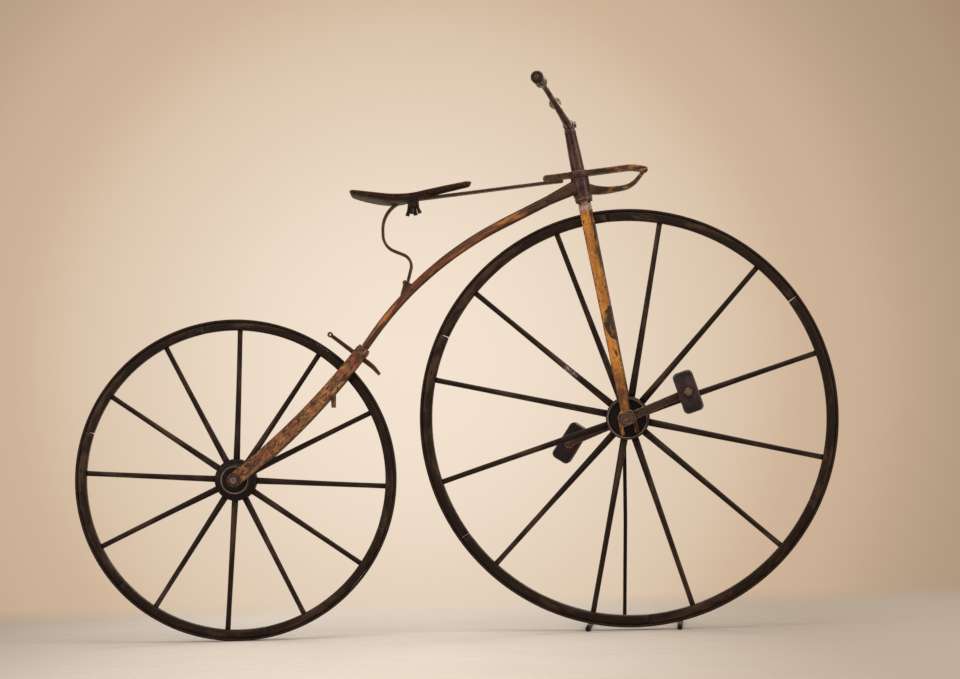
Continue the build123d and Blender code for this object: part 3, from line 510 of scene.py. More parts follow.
wheel_wood = (
    Finish("wheel_wood", (35, 21, 13), rough=(0.34, 0.58), sheen=0.14)
    .patches((16, 9, 6), 420, 0.44, 0.6, 0.85, GRAIN)
    .patches((80, 58, 44), 34, 0.48, 0.66, 0.65, 0.25)
    .patches((74, 42, 30), 90, 0.6, 0.7, 0.5, 0.3, (5, 3, 2))
    .patches((18, 12, 10), 120, 0.56, 0.66, 0.8, 0.25, (1, 9, 4))
    .patches((126, 104, 82), 230, 0.66, 0.73, 0.5, 0.5, (3, 1, 0))
    .worn((92, 70, 54), 0.15, 0.6, 0.45)
    .hollow_shade((12, 8, 6))
    # painted highlight: a pale spot on one front spoke
    .along((158, 142, 136), "spoke_glint", 0.2, 0.5, 0.85, 230, 0.5, 0.56)
    .relief(0.3, 500, GRAIN)
    .relief(0.35, 60)
)

hub_wood = (
    Finish("wheel_wood", (22, 15, 12), rough=(0.32, 0.55), sheen=0.14, variant="_hub")
    .patches((13, 9, 8), 300, 0.42, 0.62, 0.8, across=0.2)
    .patches((52, 42, 37), 60, 0.55, 0.75, 0.6)
    .patches((70, 40, 28), 120, 0.63, 0.72, 0.5, offset=(5, 2, 3))
    .worn((104, 88, 74), 0.15, 0.6, 0.55)
    .hollow_shade((8, 6, 5))
    .relief(0.25, 300)
)

tyre_iron = (
    Finish("iron_tyre", (42, 28, 20), rough=(0.38, 0.65), metallic=0.15, sheen=0.16)
    .patches((22, 16, 14), 30, 0.45, 0.62, 0.85)
    .patches((78, 47, 31), 60, 0.58, 0.7, 0.6, offset=(2, 5, 1))
    .patches((120, 102, 86), 240, 0.65, 0.72, 0.6, 0.2, (7, 1, 3))
    .worn((128, 108, 90), 0.1, 0.5, 0.65)
    .relief(0.35, 160)
    .relief(0.12, 700)
)

hub_iron = (
    Finish("hub_iron", (38, 31, 27), rough=(0.28, 0.5), metallic=0.3, sheen=0.2)
    .patches((20, 16, 15), 60, 0.45, 0.62, 0.85)
    .patches((92, 58, 38), 110, 0.6, 0.7, 0.6, offset=(2, 5, 1))
    .worn((146, 128, 112), 0.1, 0.5, 0.8)
    .hollow_shade((12, 9, 8))
    .relief(0.25, 240)
)

hoop_iron = (
    Finish("hub_iron", (52, 43, 36), rough=(0.3, 0.5), metallic=0.2, sheen=0.2, variant="_hoops")
    .patches((26, 21, 18), 60, 0.5, 0.66, 0.8)
    .patches((92, 66, 44), 110, 0.6, 0.7, 0.6, offset=(2, 5, 1))
    # painted highlight along the inner edge of each hoop's outer face
    .along((156, 138, 116), "bared_and_lit", 0.2, 0.8, 0.85, 90, 0.25, 0.5)
    .hollow_shade((12, 9, 8))
    .relief(0.25, 240)
)

crank_iron = (
    Finish("crank_iron", (66, 44, 37), rough=(0.32, 0.52), metallic=0.2)
    .patches((36, 24, 20), 50, 0.45, 0.62, 0.85, 0.4)
    .patches((112, 80, 72), 80, 0.56, 0.7, 0.6, 0.5, (2, 5, 1))
    .patches((132, 70, 32), 150, 0.63, 0.71, 0.7, offset=(4, 2, 9))
    .patches((24, 16, 14), 210, 0.6, 0.67, 0.8, offset=(9, 6, 1))
    .worn((138, 106, 92), 0.15, 0.6, 0.75)
    .hollow_shade((16, 11, 9))
    .relief(0.3, 180)
)

pedal_wood = (
    Finish("pedal_wood", (29, 23, 24), rough=(0.42, 0.65))
    .patches((15, 12, 12), 60, 0.42, 0.6, 0.9)
    .patches((48, 40, 32), 40, 0.52, 0.7, 0.6, offset=(8, 3, 2))
    .patches((110, 86, 62), 170, 0.66, 0.73, 0.6)
    .along((80, 45, 52), "bared_and_lit", 0.25, 0.85, 0.85, 60)
    .worn((112, 88, 66), 0.12, 0.5, 0.75)
    .relief(0.4, 260, 0.2)
    .relief(0.15, 900)
)

fork_paint = (
    Finish("fork_paint", (190, 124, 46), rough=(0.3, 0.5), coat=0.1)
    .patches((150, 92, 36), 60, 0.42, 0.6, 0.85, 0.25)
    .patches((214, 156, 74), 80, 0.56, 0.7, 0.7, 0.2, (3, 1, 2))
    .patches((98, 54, 26), 260, 0.54, 0.62, 0.85, 0.5, (5, 5, 1))
    .patches((46, 29, 21), 150, 0.6, 0.65, 0.95, 0.4, (9, 2, 6))
    .along((38, 28, 25), "bared_and_lit", 0.35, 0.7, 0.97, 110, 0.3, 0.5)
    .patches((150, 128, 108), 260, 0.69, 0.74, 0.6, 0.6, (2, 7, 4))
    .along((84, 48, 27), "under", 0.2, 0.8, 0.9, 70, 0.36, 0.58)
    .worn((54, 35, 26), 0.1, 0.45, 0.9)
    .hollow_shade((30, 18, 12), 0.85)
    .relief(0.25, 220, 0.4)
    .relief(0.1, 900)
)

# Pale bare iron of the neck under the collar, lightened as a painted highlight.
neck_iron = (
    Finish("fork_paint", (150, 116, 102), rough=(0.28, 0.48), metallic=0.15, variant="_neck")
    .patches((88, 58, 46), 90, 0.42, 0.6, 0.85)
    .patches((214, 192, 180), 130, 0.54, 0.66, 0.8, offset=(4, 1, 3))
    .patches((52, 31, 22), 140, 0.58, 0.66, 0.9, offset=(8, 4, 2))
    .worn((180, 146, 118), 0.15, 0.6, 0.6)
    .hollow_shade((30, 18, 13))
    .relief(0.25, 300)
)

head_iron = (
    Finish("head_iron", (78, 47, 39), rough=(0.22, 0.42), metallic=0.25, coat=0.1, sheen=0.18)
    .patches((38, 25, 22), 45, 0.42, 0.6, 0.9, 0.35)
    .patches((128, 94, 84), 60, 0.58, 0.7, 0.6, 0.2, (2, 6, 1))
    .patches((142, 84, 36), 150, 0.62, 0.7, 0.65, 0.5, (4, 3, 7))
    .patches((22, 14, 12), 190, 0.6, 0.67, 0.85, 0.5, (7, 1, 4))
    .worn((156, 126, 112), 0.15, 0.6, 0.65)
    .hollow_shade((20, 13, 10))
    .relief(0.3, 200, 0.5)
)

frame_paint = (
    Finish("frame_paint", (108, 62, 37), rough=(0.28, 0.48), coat=0.15)
    .patches((60, 34, 24), 46, 0.42, 0.58, 0.9, 0.12)
    .patches((182, 112, 44), 60, 0.5, 0.62, 0.85, 0.12, (3, 1, 2))
    .patches((138, 58, 40), 70, 0.57, 0.68, 0.75, 0.2, (6, 2, 5))
    .patches((34, 21, 16), 170, 0.56, 0.64, 0.85, 0.25, (1, 8, 3))
    # painted shade on the underside of the backbone, darker towards its front end
    .along((26, 16, 12), "under", 0.25, 0.75, 0.85, 60, 0.2, 0.5)
    # painted highlight on the upper faces of the backbone
    .along((158, 124, 104), "bared_and_lit", 0.35, 0.8, 0.8, 110)
    .worn((150, 110, 82), 0.1, 0.5, 0.45)
    .hollow_shade((22, 14, 10))
    .relief(0.3, 170, 0.3)
    .relief(0.1, 800)
)

leg_paint = (
    Finish("frame_paint", (128, 86, 50), rough=(0.34, 0.56), coat=0.05, variant="_legs")
    .patches((76, 48, 34), 85, 0.46, 0.55, 0.9, 0.34)
    .patches((178, 122, 60), 110, 0.53, 0.61, 0.85, 0.34, (3, 1, 2))
    .patches((148, 66, 48), 110, 0.54, 0.62, 0.85, 0.3, (6, 2, 5))
    .patches((42, 28, 22), 180, 0.54, 0.6, 0.9, 0.42, (1, 8, 3))
    .patches((204, 172, 138), 270, 0.62, 0.68, 0.65, 0.6, (8, 3, 4))
    .patches((78, 52, 66), 140, 0.62, 0.7, 0.6, 0.6, (4, 9, 7))
    .worn((60, 40, 30), 0.1, 0.45, 0.75)
    .hollow_shade((22, 14, 10))
    .relief(0.35, 240)
    .relief(0.12, 900)
)

frame_iron = (
    Finish("frame_iron", (72, 48, 37), rough=(0.3, 0.52), metallic=0.15, sheen=0.22)
    .patches((40, 26, 20), 50, 0.42, 0.6, 0.9, 0.25)
    .patches((160, 106, 50), 100, 0.62, 0.69, 0.6, 0.3, (2, 6, 1))
    .patches((112, 86, 78), 70, 0.58, 0.7, 0.6, 0.3, (8, 2, 7))
    .along((166, 108, 48), "bared_and_lit", 0.3, 0.9, 0.85, 130, 0.5, 0.6)
    .patches((24, 16, 12), 170, 0.58, 0.65, 0.85, 0.4, (5, 3, 2))
    .worn((158, 122, 94), 0.15, 0.6, 0.6)
    .hollow_shade((18, 12, 9))
    .relief(0.3, 220, 0.4)
)

leaf_iron = (
    Finish("frame_iron", (62, 44, 31), rough=(0.34, 0.55), metallic=0.15, sheen=0.2, variant="_leaf")
    .patches((32, 22, 16), 50, 0.42, 0.58, 0.9, 0.2)
    .patches((140, 92, 50), 60, 0.6, 0.7, 0.6, 0.2, (2, 6, 1))
    .worn((140, 98, 62), 0.2, 0.7, 0.45)
    .relief(0.25, 220, 0.4)
)

leather = (
    Finish("saddle_leather", (56, 34, 21), rough=(0.44, 0.64), sheen=0.07)
    .patches((30, 18, 12), 45, 0.44, 0.62, 0.85)
    .patches((74, 42, 33), 38, 0.52, 0.7, 0.6, offset=(4, 2, 1))
    .patches((16, 9, 6), 340, 0.56, 0.64, 0.7, offset=(2, 2, 7))
    # reddish rubbed leather on the seat's top, with a painted highlight on faces turned up
    .along((100, 54, 40), "bared_and_lit", 0.3, 0.9, 0.85, 50, 0.3, 0.6)
    .worn((128, 92, 72), 0.1, 0.5, 0.65)
    .hollow_shade((12, 7, 5))
    .relief(0.35, 700)
    .relief(0.5, 110)
)

thong = (
    Finish("saddle_leather", (42, 33, 21), rough=(0.4, 0.62), sheen=0.12, variant="_thong")
    .patches((12, 9, 6), 120, 0.42, 0.6, 0.9)
    .patches((80, 66, 44), 150, 0.54, 0.66, 0.75, 0.3, (4, 2, 1))
    .worn((84, 68, 48), 0.15, 0.6, 0.6)
    .relief(0.3, 500)
)

saddle_iron = (
    Finish("saddle_iron", (36, 26, 20), rough=(0.4, 0.62), metallic=0.15)
    .patches((20, 14, 11), 60, 0.42, 0.6, 0.9)
    .patches((84, 58, 38), 120, 0.58, 0.68, 0.6, offset=(3, 2, 1))
    .worn((110, 84, 62), 0.15, 0.6, 0.6)
    .relief(0.25, 240)
)

grip_wood = (
    Finish("grip_wood", (32, 21, 13), rough=(0.3, 0.46), sheen=0.16)
    .patches((14, 9, 6), 90, 0.42, 0.6, 0.9)
    .patches((96, 72, 42), 110, 0.58, 0.7, 0.7, offset=(3, 2, 1))
    .worn((140, 112, 72), 0.15, 0.6, 0.7)
    .hollow_shade((8, 5, 3))
    .relief(0.25, 300, across=0.2)
)

ferrule = (
    Finish("ferrule", (126, 102, 76), rough=(0.26, 0.42), coat=0.1)
    .patches((88, 62, 46), 110, 0.42, 0.58, 0.85)
    .patches((212, 192, 168), 90, 0.56, 0.7, 0.75, offset=(2, 5, 1))
    .patches((46, 30, 22), 200, 0.58, 0.66, 0.85, offset=(6, 1, 3))
    .hollow_shade((40, 27, 18))
    .relief(0.2, 400)
)

stand_black = (
    Finish("stand_black", (17, 14, 13), rough=(0.42, 0.62), sheen=0.12)
    .patches((13, 11, 10), 60, 0.42, 0.6, 0.85)
    .patches((70, 54, 42), 200, 0.67, 0.74, 0.55, offset=(3, 1, 2))
    .worn((66, 54, 44), 0.2, 0.7, 0.5)
    .relief(0.25, 300)
)


# Wheels
OPEN_JOINTS = (0, 2)


def felloe_ring(inner, outer, width, joint_angle, count=6, gap=0.55, slit=0.9, steps=26):
    """Felloes: sawn arcs with rounded edges and thin gaps between; two gaps have opened on the inside."""
    shape = Shape()
    half = width / 2
    outline = softened([(inner, -half), (inner, half), (outer, half), (outer, -half)], 5.0)
    across = run_lengths(outline + [outline[0]])
    for i in range(count):
        start = radians(joint_angle + i * 360 / count) + gap / 2 / outer
        end = radians(joint_angle + (i + 1) * 360 / count) - gap / 2 / outer
        opened = {0: slit * (i in OPEN_JOINTS), steps: -slit * ((i + 1) % count in OPEN_JOINTS)}
        rows = []
        for k in range(steps + 1):
            angle = start + (end - start) * k / steps
            shy = 0.35 if k in opened else 0.0
            row = []
            for radius, z in outline:
                share = (outer - radius) / (outer - inner)
                spot = radius - shy if share < 0.5 else radius + shy
                at = angle + opened.get(k, 0.0) * share / radius
                row.append((spot * cos(at), spot * sin(at), z * (1 - shy / half)))
            rows.append(row)
        along = [i * 700 + outer * (end - start) * k / steps for k in range(steps + 1)]
        shape.skin(rows, along, across, caps=True)
    return shape


def spoke_set(root, tip, start, end, angles, rings=30, sides=18):
    """Spokes shaved by hand: thick at the hub, waisted towards the rim, none quite straight or round."""
    shape = Shape()
    for i, spoke_angle in enumerate(angles):
        turn = Matrix.Rotation(radians(spoke_angle), 4, "Z")
        rows = []
        for k in range(rings + 1):
            t = k / rings
            flare = 0.5 * max(0.0, t - 0.9) * 10 * tip / 20
            radius = tip / 2 + (root - tip) / 2 * (1 - t) ** 2.4 + flare
            radius *= 1 + 0.03 * noise.noise(Vector((i * 3.1, t * 6, 0)))
            drift = sin(pi * t)
            y = drift * noise.noise(Vector((i * 5.7, 1.5, 0)))
            z = drift * noise.noise(Vector((i * 5.7, 7.5, 0)))
            row = []
            for s in range(sides):
                angle = 2 * pi * s / sides
                flat = 1 - 0.04 * cos(4 * angle)
                row.append(turn @ Vector((start + (end - start) * t, y + radius * flat * cos(angle),
                                          z + 1.06 * radius * flat * sin(angle))))
            rows.append(row)
        girth = pi * root
        along = [i * 900 + (end - start) * k / rings for k in range(rings + 1)]
        shape.skin(rows, along, [girth * s / sides for s in range(sides + 1)], caps=True)
    return shape


def mirrored_profile(profile):
    """A turned outline and its mirror image below."""
    return list(profile) + [(radius, -z) for radius, z in reversed(profile)]


def inner_edge(flat, radius, height):
    """Marks a thin ring at the inner edge of a hub hoop's outer face, for a painted highlight."""
    to_flat = flat.inverted()

    def rule(place, normal):
        spot = (to_flat @ place) / MM
        if abs(spot.z) < height - 2.2:
            return 0.0
        return 1.3 - abs((spot.x**2 + spot.y**2) ** 0.5 - radius - 0.8) / 1.4
    return rule


# Half outlines of the hubs, and the angles of the spokes
FRONT_HUB = [(11.6, 43.2), (17, 44.2), (19, 43.0), (38, 42.6), (43.2, 43.0), (43.4, 31.5), (46.6, 31.0),
             (48.0, 29.0), (47.0, 27.0), (47.2, 25.6), (49.4, 24.2), (50.2, 21.5), (50.4, 8)]
REAR_HUB = [(9.1, 42.0), (16, 42.6), (18, 41.4), (28.8, 41.6), (29.0, 27), (33.6, 26.4), (36.4, 24.6),
            (37.2, 23.0), (42.5, 21.8), (46.6, 20.4), (48.2, 17.5), (48.4, 6)]
FRONT_SPOKES = (17.6, 47.9, 79.2, 109.6, 139.2, 167.4, 197.6, 226.4, 258.3, 287.5, 318.6, 347.1)
REAR_SPOKES = (25.0, 55.1, 87.1, 116.5, 144.8, 176.0, 204.9, 236.2, 265.5, 295.5, 324.7, 356.1)
# A painted highlight: a pale spot on one front spoke, given by spoke, place and reach.
GLINT_SPOKE = 4
GLINT_AT = (170, 6, 5)
GLINT_REACH = 30
TYRE_THICK = 6.0
TYRE_HALF = 14
FELLOE_WIDTH = 27.0


def wheel(side, flat, radius, depth, spoke_sizes, angles, joint_angle, hub_radius, hub, hoop_radii,
          hoop_ends):
    """A wheel with its tyre, felloes of a depth, spokes of root and tip sizes, hub and two hub hoops."""
    body = side + "_wheel"
    rim = radius - TYRE_THICK
    inner = rim - depth
    half_tread = [(rim + 0.1, -TYRE_HALF), (radius - 0.2, -TYRE_HALF)]
    tread = half_tread + [(radius - 0.1, 0)] + [(r, -z) for r, z in reversed(half_tread)]
    tyre = Shape().turned(softened(tread, 2.2), steps=240)
    stand_in(tyre, side + "_tyre", flat, body, tyre_iron, (0.15, 60, 0.05))
    felloes = felloe_ring(inner, rim, FELLOE_WIDTH, joint_angle)
    stand_in(felloes, side + "_felloes", flat, body, wheel_wood, (0.3, 70, 0.05))
    spokes = spoke_set(*spoke_sizes, hub_radius - 4, inner + 3, angles)
    spokes = stand_in(spokes, side + "_spokes", flat, body, wheel_wood)
    glint = flat @ (Matrix.Rotation(radians(angles[GLINT_SPOKE]), 4, "Z") @ Vector(GLINT_AT) * MM)

    # Painted highlight: a pale spot on one front spoke, fading out from its middle.
    def spoke_glint(place, normal):
        return (side == "front") * (1 - (place - glint).length / (GLINT_REACH * MM))

    set_mark(spokes, "spoke_glint", spoke_glint)
    shape = Shape().turned(softened(mirrored_profile(hub), 0.8, 2))
    stand_in(shape, side + "_hub", flat, body, hub_wood)
    (hoop_in, hoop_out), (low, high) = hoop_radii, hoop_ends
    hoop = softened([(hoop_in, low), (hoop_out, low), (hoop_out, high), (hoop_in, high)], 1.8)
    shape = Shape().turned(hoop).turned([(r, -z) for r, z in hoop])
    hoops = stand_in(shape, side + "_hub_hoops", flat, body, hoop_iron, (0.2, 25, 0.04))
    # Painted highlight on the inner edge of each hoop's outer face.
    set_mark(hoops, "bared_and_lit", inner_edge(flat, hoop_in, high))


wheel("front", FRONT_FLAT, radius=482.5, depth=21.5, spoke_sizes=(18.0, 12.5), angles=FRONT_SPOKES,
      joint_angle=34.4, hub_radius=50.0, hub=FRONT_HUB, hoop_radii=(43.5, 49.5), hoop_ends=(31.0, 50.0))
wheel("rear", REAR_FLAT, radius=370.0, depth=19.5, spoke_sizes=(16.0, 12.0), angles=REAR_SPOKES,
      joint_angle=40.5, hub_radius=48.0, hub=REAR_HUB, hoop_radii=(29.0, 34.0), hoop_ends=(26.0, 45.0))

# Front axle with a lathe centre in each end
end = softened([(0, 91.5), (2.6, 94.2), (11.3, 94.4), (11.4, 60)], 1.2, closed=False)
shape = Shape().turned(mirrored_profile(end), steps=48, closed=False)
stand_in(shape, "front_axle", FRONT_FLAT, "front_wheel", crank_iron)


def around_pin(centre):
    """A mark that is full at a pin along the axle and fades out 40 mm from it."""
    def rule(place, normal):
        off = place - centre
        off -= axle_dir * off.dot(axle_dir)
        return 1.1 - off.length / (40 * MM) + 0.3 * noise.noise(place * 60)
    return rule


# Cranks, pedal pins, washers and nuts, pedals
CRANK = 152
CRANK_ANGLE = 22.0
PIN = [(0, 189.4), (4.6, 189.4), (5.6, 188.2), (5.6, 183.0), (7.9, 182.0), (7.9, 90.4), (11.7, 90.0),
       (11.7, 84.7), (7.9, 84.4), (7.9, 72.6), (0, 72.6)]
WASHER = softened([(8.0, 177.4), (12.4, 177.4), (12.4, 178.9), (8.0, 178.9)], 0.6)
for side, turn, flip in (("right", CRANK_ANGLE, 0), ("left", CRANK_ANGLE + 180, pi)):
    pin = Vector((CRANK * cos(radians(turn)), CRANK * sin(radians(turn)), 0))
    place = Matrix.Translation(pin) @ Matrix.Rotation(flip, 4, "X")
    forged("crank_" + side, crank_iron, voxel=1.2, rounds=4, depth=0.3, size=30)
    pedal = forged("pedal_" + side, pedal_wood, voxel=1.9, rounds=5, depth=0.6, size=35, fine=0.12)
    set_mark(pedal, "bared_and_lit", around_pin(FRONT_FLAT @ (pin * MM)))
    shape = Shape().turned(PIN, place, steps=40, closed=False)
    stand_in(shape, "pedal_pin_" + side, FRONT_FLAT, "front_wheel", crank_iron)
    shape = Shape().turned(WASHER, place, steps=48)
    shape.nut(18, 178.9, 186.8, 5.7, place @ Matrix.Rotation(0.35, 4, "Z"))
    stand_in(shape, "pedal_nut_" + side, FRONT_FLAT, "front_wheel", hub_iron, tight=0.8)

# Fork: ochre paint, rubbed to bare dark iron along the front of each blade, and a bare neck under the collar
# whose pale colour is partly a painted highlight
to_steer = STEER.inverted()
to_machine = MACHINE.inverted()
SEAM_HEIGHT = 456

# Heights on a blade, and how far forward across it bare iron begins there: -1 is its back, 1 its front
BARE_HEIGHTS = (0, 178, 190, 222, 250, 264, 330, 362, 400, 470)
BARE_FROM = (1.1, 1.05, -0.2, -0.85, -0.3, 1.0, 1.0, 0.55, 0.4, 0.5)


def blade_wear(place, normal):
    """How far a fork blade is rubbed bare: along its front, more at the top, with one larger patch."""
    spot = (to_steer @ place) / MM
    half = 11.2 + 3.3 * min(max(spot.z / SEAM_HEIGHT, 0), 1)
    bare_from = float(np.interp(spot.z, BARE_HEIGHTS, BARE_FROM))
    ragged = 0.4 * noise.noise(Vector((spot.x / 2.6, spot.z / 45, spot.y / 20)))
    return (spot.x / half - bare_from + ragged) / 0.5 + 0.5


def blade_low(place, normal):
    """The lower end of a fork blade, browned by oil from the hub."""
    height = (to_steer @ place).z / MM
    return min(1.0, max(0.0, (170 - height) / 130)) if height > 18 else 0.0


def at_seam(place):
    """The seam between crown and blades, painted over."""
    return abs((to_steer @ place).z / MM - SEAM_HEIGHT) < 7


for side in ("left", "right"):
    blade = forged("fork_blade_" + side, fork_paint, rounds=4, depth=0.35, size=55)
    set_mark(blade, "bared_and_lit", blade_wear)
    set_mark(blade, "under", blade_low)
    clear_wear_and_shade(blade, at_seam)
crown = forged("fork_crown", fork_paint, voxel=1.2, depth=0.2, size=30)
set_mark(crown, "bared_and_lit", blade_wear)
clear_wear_and_shade(crown, at_seam)


def above(height, ragged=0.0):
    """Picks faces above a height along the steering axis, with a ragged edge."""
    def rule(centre):
        spot = (to_steer @ centre) / MM
        return spot.z + ragged * noise.noise(spot / 7) > height
    return rule


# The neck under the collar: bare iron, painted pale as a highlight.
repaint(crown, neck_iron, above(488, 5))
repaint(crown, head_iron, above(511))
bead = softened([(15.5, 508.5), (19.2, 508.5), (20.4, 511.5), (18.6, 514.2), (15.5, 514.2)], 1.2)
drawn(Shape().turned(bead, steps=64), "neck_bead", STEER, "steering", frame_iron)

# Steering column, lug, socket, bolt, handlebar and grips
COLUMN = [(0, 580.3), (15.4, 580.3), (16.4, 582.5), (15.4, 585), (15.7, 590), (15.1, 620), (13.6, 660),
          (13.2, 671), (14.2, 674), (13.4, 677.6), (0, 678.0)]
shape = Shape().turned(softened(COLUMN, 1.0, closed=False), steps=64, closed=False, swap=True)
stand_in(shape, "steering_column", STEER, "steering", head_iron, (0.25, 30, 0.05))
forged("handlebar_lug", head_iron, voxel=1.0, rounds=4, depth=0.2, size=20)
SOCKET = [(0, 677), (13.2, 677), (12.2, 684), (11.0, 694), (8.0, 700.5), (0, 702.5)]
shape = Shape().turned(softened(SOCKET, 2.0, closed=False), steps=56, closed=False)
drawn(shape, "handlebar_socket", STEER, "steering", head_iron, rough=(0.4, 14, 0.06))
bar = forged("handlebar", head_iron, voxel=1.25, depth=0.3, size=40)
places, normals = neighbours(bar.data)[0], normals_of(bar.data)
to_bar = BAR.inverted()
reach = [abs((to_bar @ Vector(place)).y) / MM for place in places]
swell = np.interp(reach, (0, 35, 80, 140), (3.6, 3.6, 1.6, 0.0)) * MM
move_points(bar.data, places + normals * swell[:, None])
bolt_place = Matrix.Translation((12.5, 0, 690.1)) @ Matrix.Rotation(pi / 2, 4, "Y")
shape = Shape().nut(10.5, 0, 4.6, 0, bolt_place, edge=0.8, sides=4)
stand_in(shape, "handlebar_bolt", BAR, "steering", hub_iron)
FERRULE = [(6.6, -69.8), (8.6, -69.8), (9.2, -68.2), (11.0, -67.6), (13.2, -65.2), (13.6, -62.5),
           (12.6, -59.8), (11.2, -58.6), (11.4, -56.8), (10.6, -55.1), (6.6, -55.1)]
GRIP = [(6.6, -55.0), (10.4, -55.0), (11.2, -53.5), (10.6, -51.5), (11.4, -49), (13.0, -38), (13.6, -29),
        (13.2, -22.5), (14.0, -21), (14.4, -14), (14.4, -6), (13.4, -3.0), (10.8, -1.0), (8.2, -0.5),
        (7.2, -1.4), (5.4, -1.5), (4.6, -0.4), (2.6, 0.2), (0, 0.4)]
for side, way in (("left", 1), ("right", -1)):
    place = aimed(Vector((-35.5, way * 285, 781.6)), Vector((-7, way * 100, 11)))
    for name, profile, finish in (("grip_ferrule_", FERRULE, ferrule), ("grip_", GRIP, grip_wood)):
        shape = Shape().turned(softened(profile, 0.8, closed=False), place, steps=56, closed=False)
        stand_in(shape, name + side, BAR, "steering", finish)

# Backbone, its head boss, the spring arm and the scroll arm
spine = bent_line(((300.6, 0, 661.7), (443.2, 0, 855.7), (746.3, 0, 1000.3), (815.3, 0, 1032.0)))
backbone = forged("backbone", frame_paint, voxel=1.8, rounds=4, depth=0.4, size=60, line=spine)


def top_light(place, normal):
    """Painted highlight on the upper faces of the bar, strongest where they face up; on its front end, where
    frame_iron lies, the same mark lays ochre.
    """
    return max(0.0, normal.z) * (0.6 + 0.4 * noise.noise(place * 30)) - 0.2 * abs(normal.y)


def near_head(centre):
    spot = (to_machine @ centre) / MM
    return spot.x + 30 * noise.noise(spot / 18) > 735


def at_head(centre):
    spot = (to_steer @ centre) / MM
    return (spot.x**2 + spot.y**2) ** 0.5 < 27 + 4 * noise.noise(spot / 6)


def shaded_underside(place, normal):
    """Painted shade on the lower side of the bar, and darker towards its front end."""
    spot = (to_machine @ place) / MM
    return max(0.0, -normal.z, (spot.x - 600) / 130) + 0.2 * noise.noise(place * 40)


# Painted highlight on the bar's upper faces and painted shade on its underside.
set_mark(backbone, "bared_and_lit", top_light)
set_mark(backbone, "under", shaded_underside)
repaint(backbone, frame_iron, near_head)
repaint(backbone, head_iron, at_head)


def arm_tip(place, normal):
    """The front end of the arms, where ochre paint is left."""
    return ((to_machine @ place).x / MM - 770) / 250 + 0.3 * noise.noise(place * 50)


for node, voxel in (("spring_arm", 1.4), ("scroll_arm", 1.1)):
    set_mark(forged(node, frame_iron, voxel=voxel, rounds=4, depth=0.35, size=35), "bared_and_lit", arm_tip)
eye = Matrix.Translation((809.6, 0, 1055.2)) @ Matrix.Rotation(-0.105, 4, "Y")
ring = softened([(21.0, -7.4), (25.6, -7.4), (25.6, 7.4), (21.0, 7.4)], 2.4)
shape = Shape().turned(ring, eye, steps=72)
drawn(shape, "spring_arm_eye", MACHINE, "frame", frame_iron, rough=(0.4, 20, 0.06))
shape = Shape()
shape.turned(softened([(20.4, 522.5), (22.4, 522.8), (22.6, 526), (20.4, 527)], 0.8), steps=72)
shape.turned(softened([(20.2, 558), (21.9, 558.6), (21.9, 561.4), (20.2, 562)], 0.8), steps=72)
drawn(shape, "boss_beads", STEER, "frame", head_iron)

# Rear crown, fork legs, brake lever, pivot and step peg
forged("rear_crown", leg_paint, voxel=1.2, rounds=4, depth=0.3, size=25)
for side in ("left", "right"):
    forged("rear_leg_" + side, leg_paint, voxel=1.6, rounds=4, depth=0.4, size=45)
forged("brake_lever", frame_iron, voxel=1.0, depth=0.25, size=20)
forged("step_peg", frame_iron, voxel=0.9, depth=0.3, size=20)
low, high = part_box("brake_pivot")
pivot = placed((low + high) / 2, FORWARD, UP, -LEFT)
half = (high.y - low.y) / 2 / MM
rivet = [(0, half + 3.6), (4.5, half + 3.0), (7.6, half + 0.6), (7.8, half), (3.9, half), (3.9, 5)]
rivet = mirrored_profile(softened(rivet, 0.8, closed=False))
stand_in(Shape().turned(rivet, steps=40, closed=False), "brake_pivot", pivot, "frame", frame_iron)

# Rear axle with threaded ends, washers and nuts
thread = [(8.0 - 0.55 * (k % 2), 73.4 + 0.8 * k) for k in range(11)]
end = [(0, 80.6), (2.0, 82.0), (6.8, 82.4)] + thread[::-1] + [(9.0, 72.4), (9.0, 30)]
shape = Shape().turned(mirrored_profile(end), steps=48, closed=False)
stand_in(shape, "rear_axle", REAR_FLAT, "frame", crank_iron)
shape = Shape()
washer = softened([(9.1, 62.4), (16.6, 62.4), (16.6, 64.2), (9.1, 64.2)], 0.7)
for flip in (0, pi):
    place = Matrix.Rotation(flip, 4, "X")
    shape.turned(washer, place, steps=56)
    shape.nut(26, 64.2, 72.6, 9.0, place @ Matrix.Rotation(0.2, 4, "Z"), edge=2.0)
stand_in(shape, "rear_axle_nuts", REAR_FLAT, "frame", crank_iron, tight=0.8)

# Leaf spring and bracket
saddle_low, saddle_high = [(to_machine @ corner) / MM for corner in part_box("saddle_leather")]
scroll_x, scroll_z = 353.0, 998.4
leaf = bent_line(((773.3, 0, 1040.4), (560, 0, 1020), (scroll_x, 0, scroll_z), (scroll_x, 0, 898.9),
                  (422, 0, 869.4), (407, 0, 814.1)))
forged("leaf_spring", leaf_iron, depth=0.2, size=40, line=leaf)
forged("spring_bracket", frame_iron, voxel=1.0, rounds=4, depth=0.25, size=18)

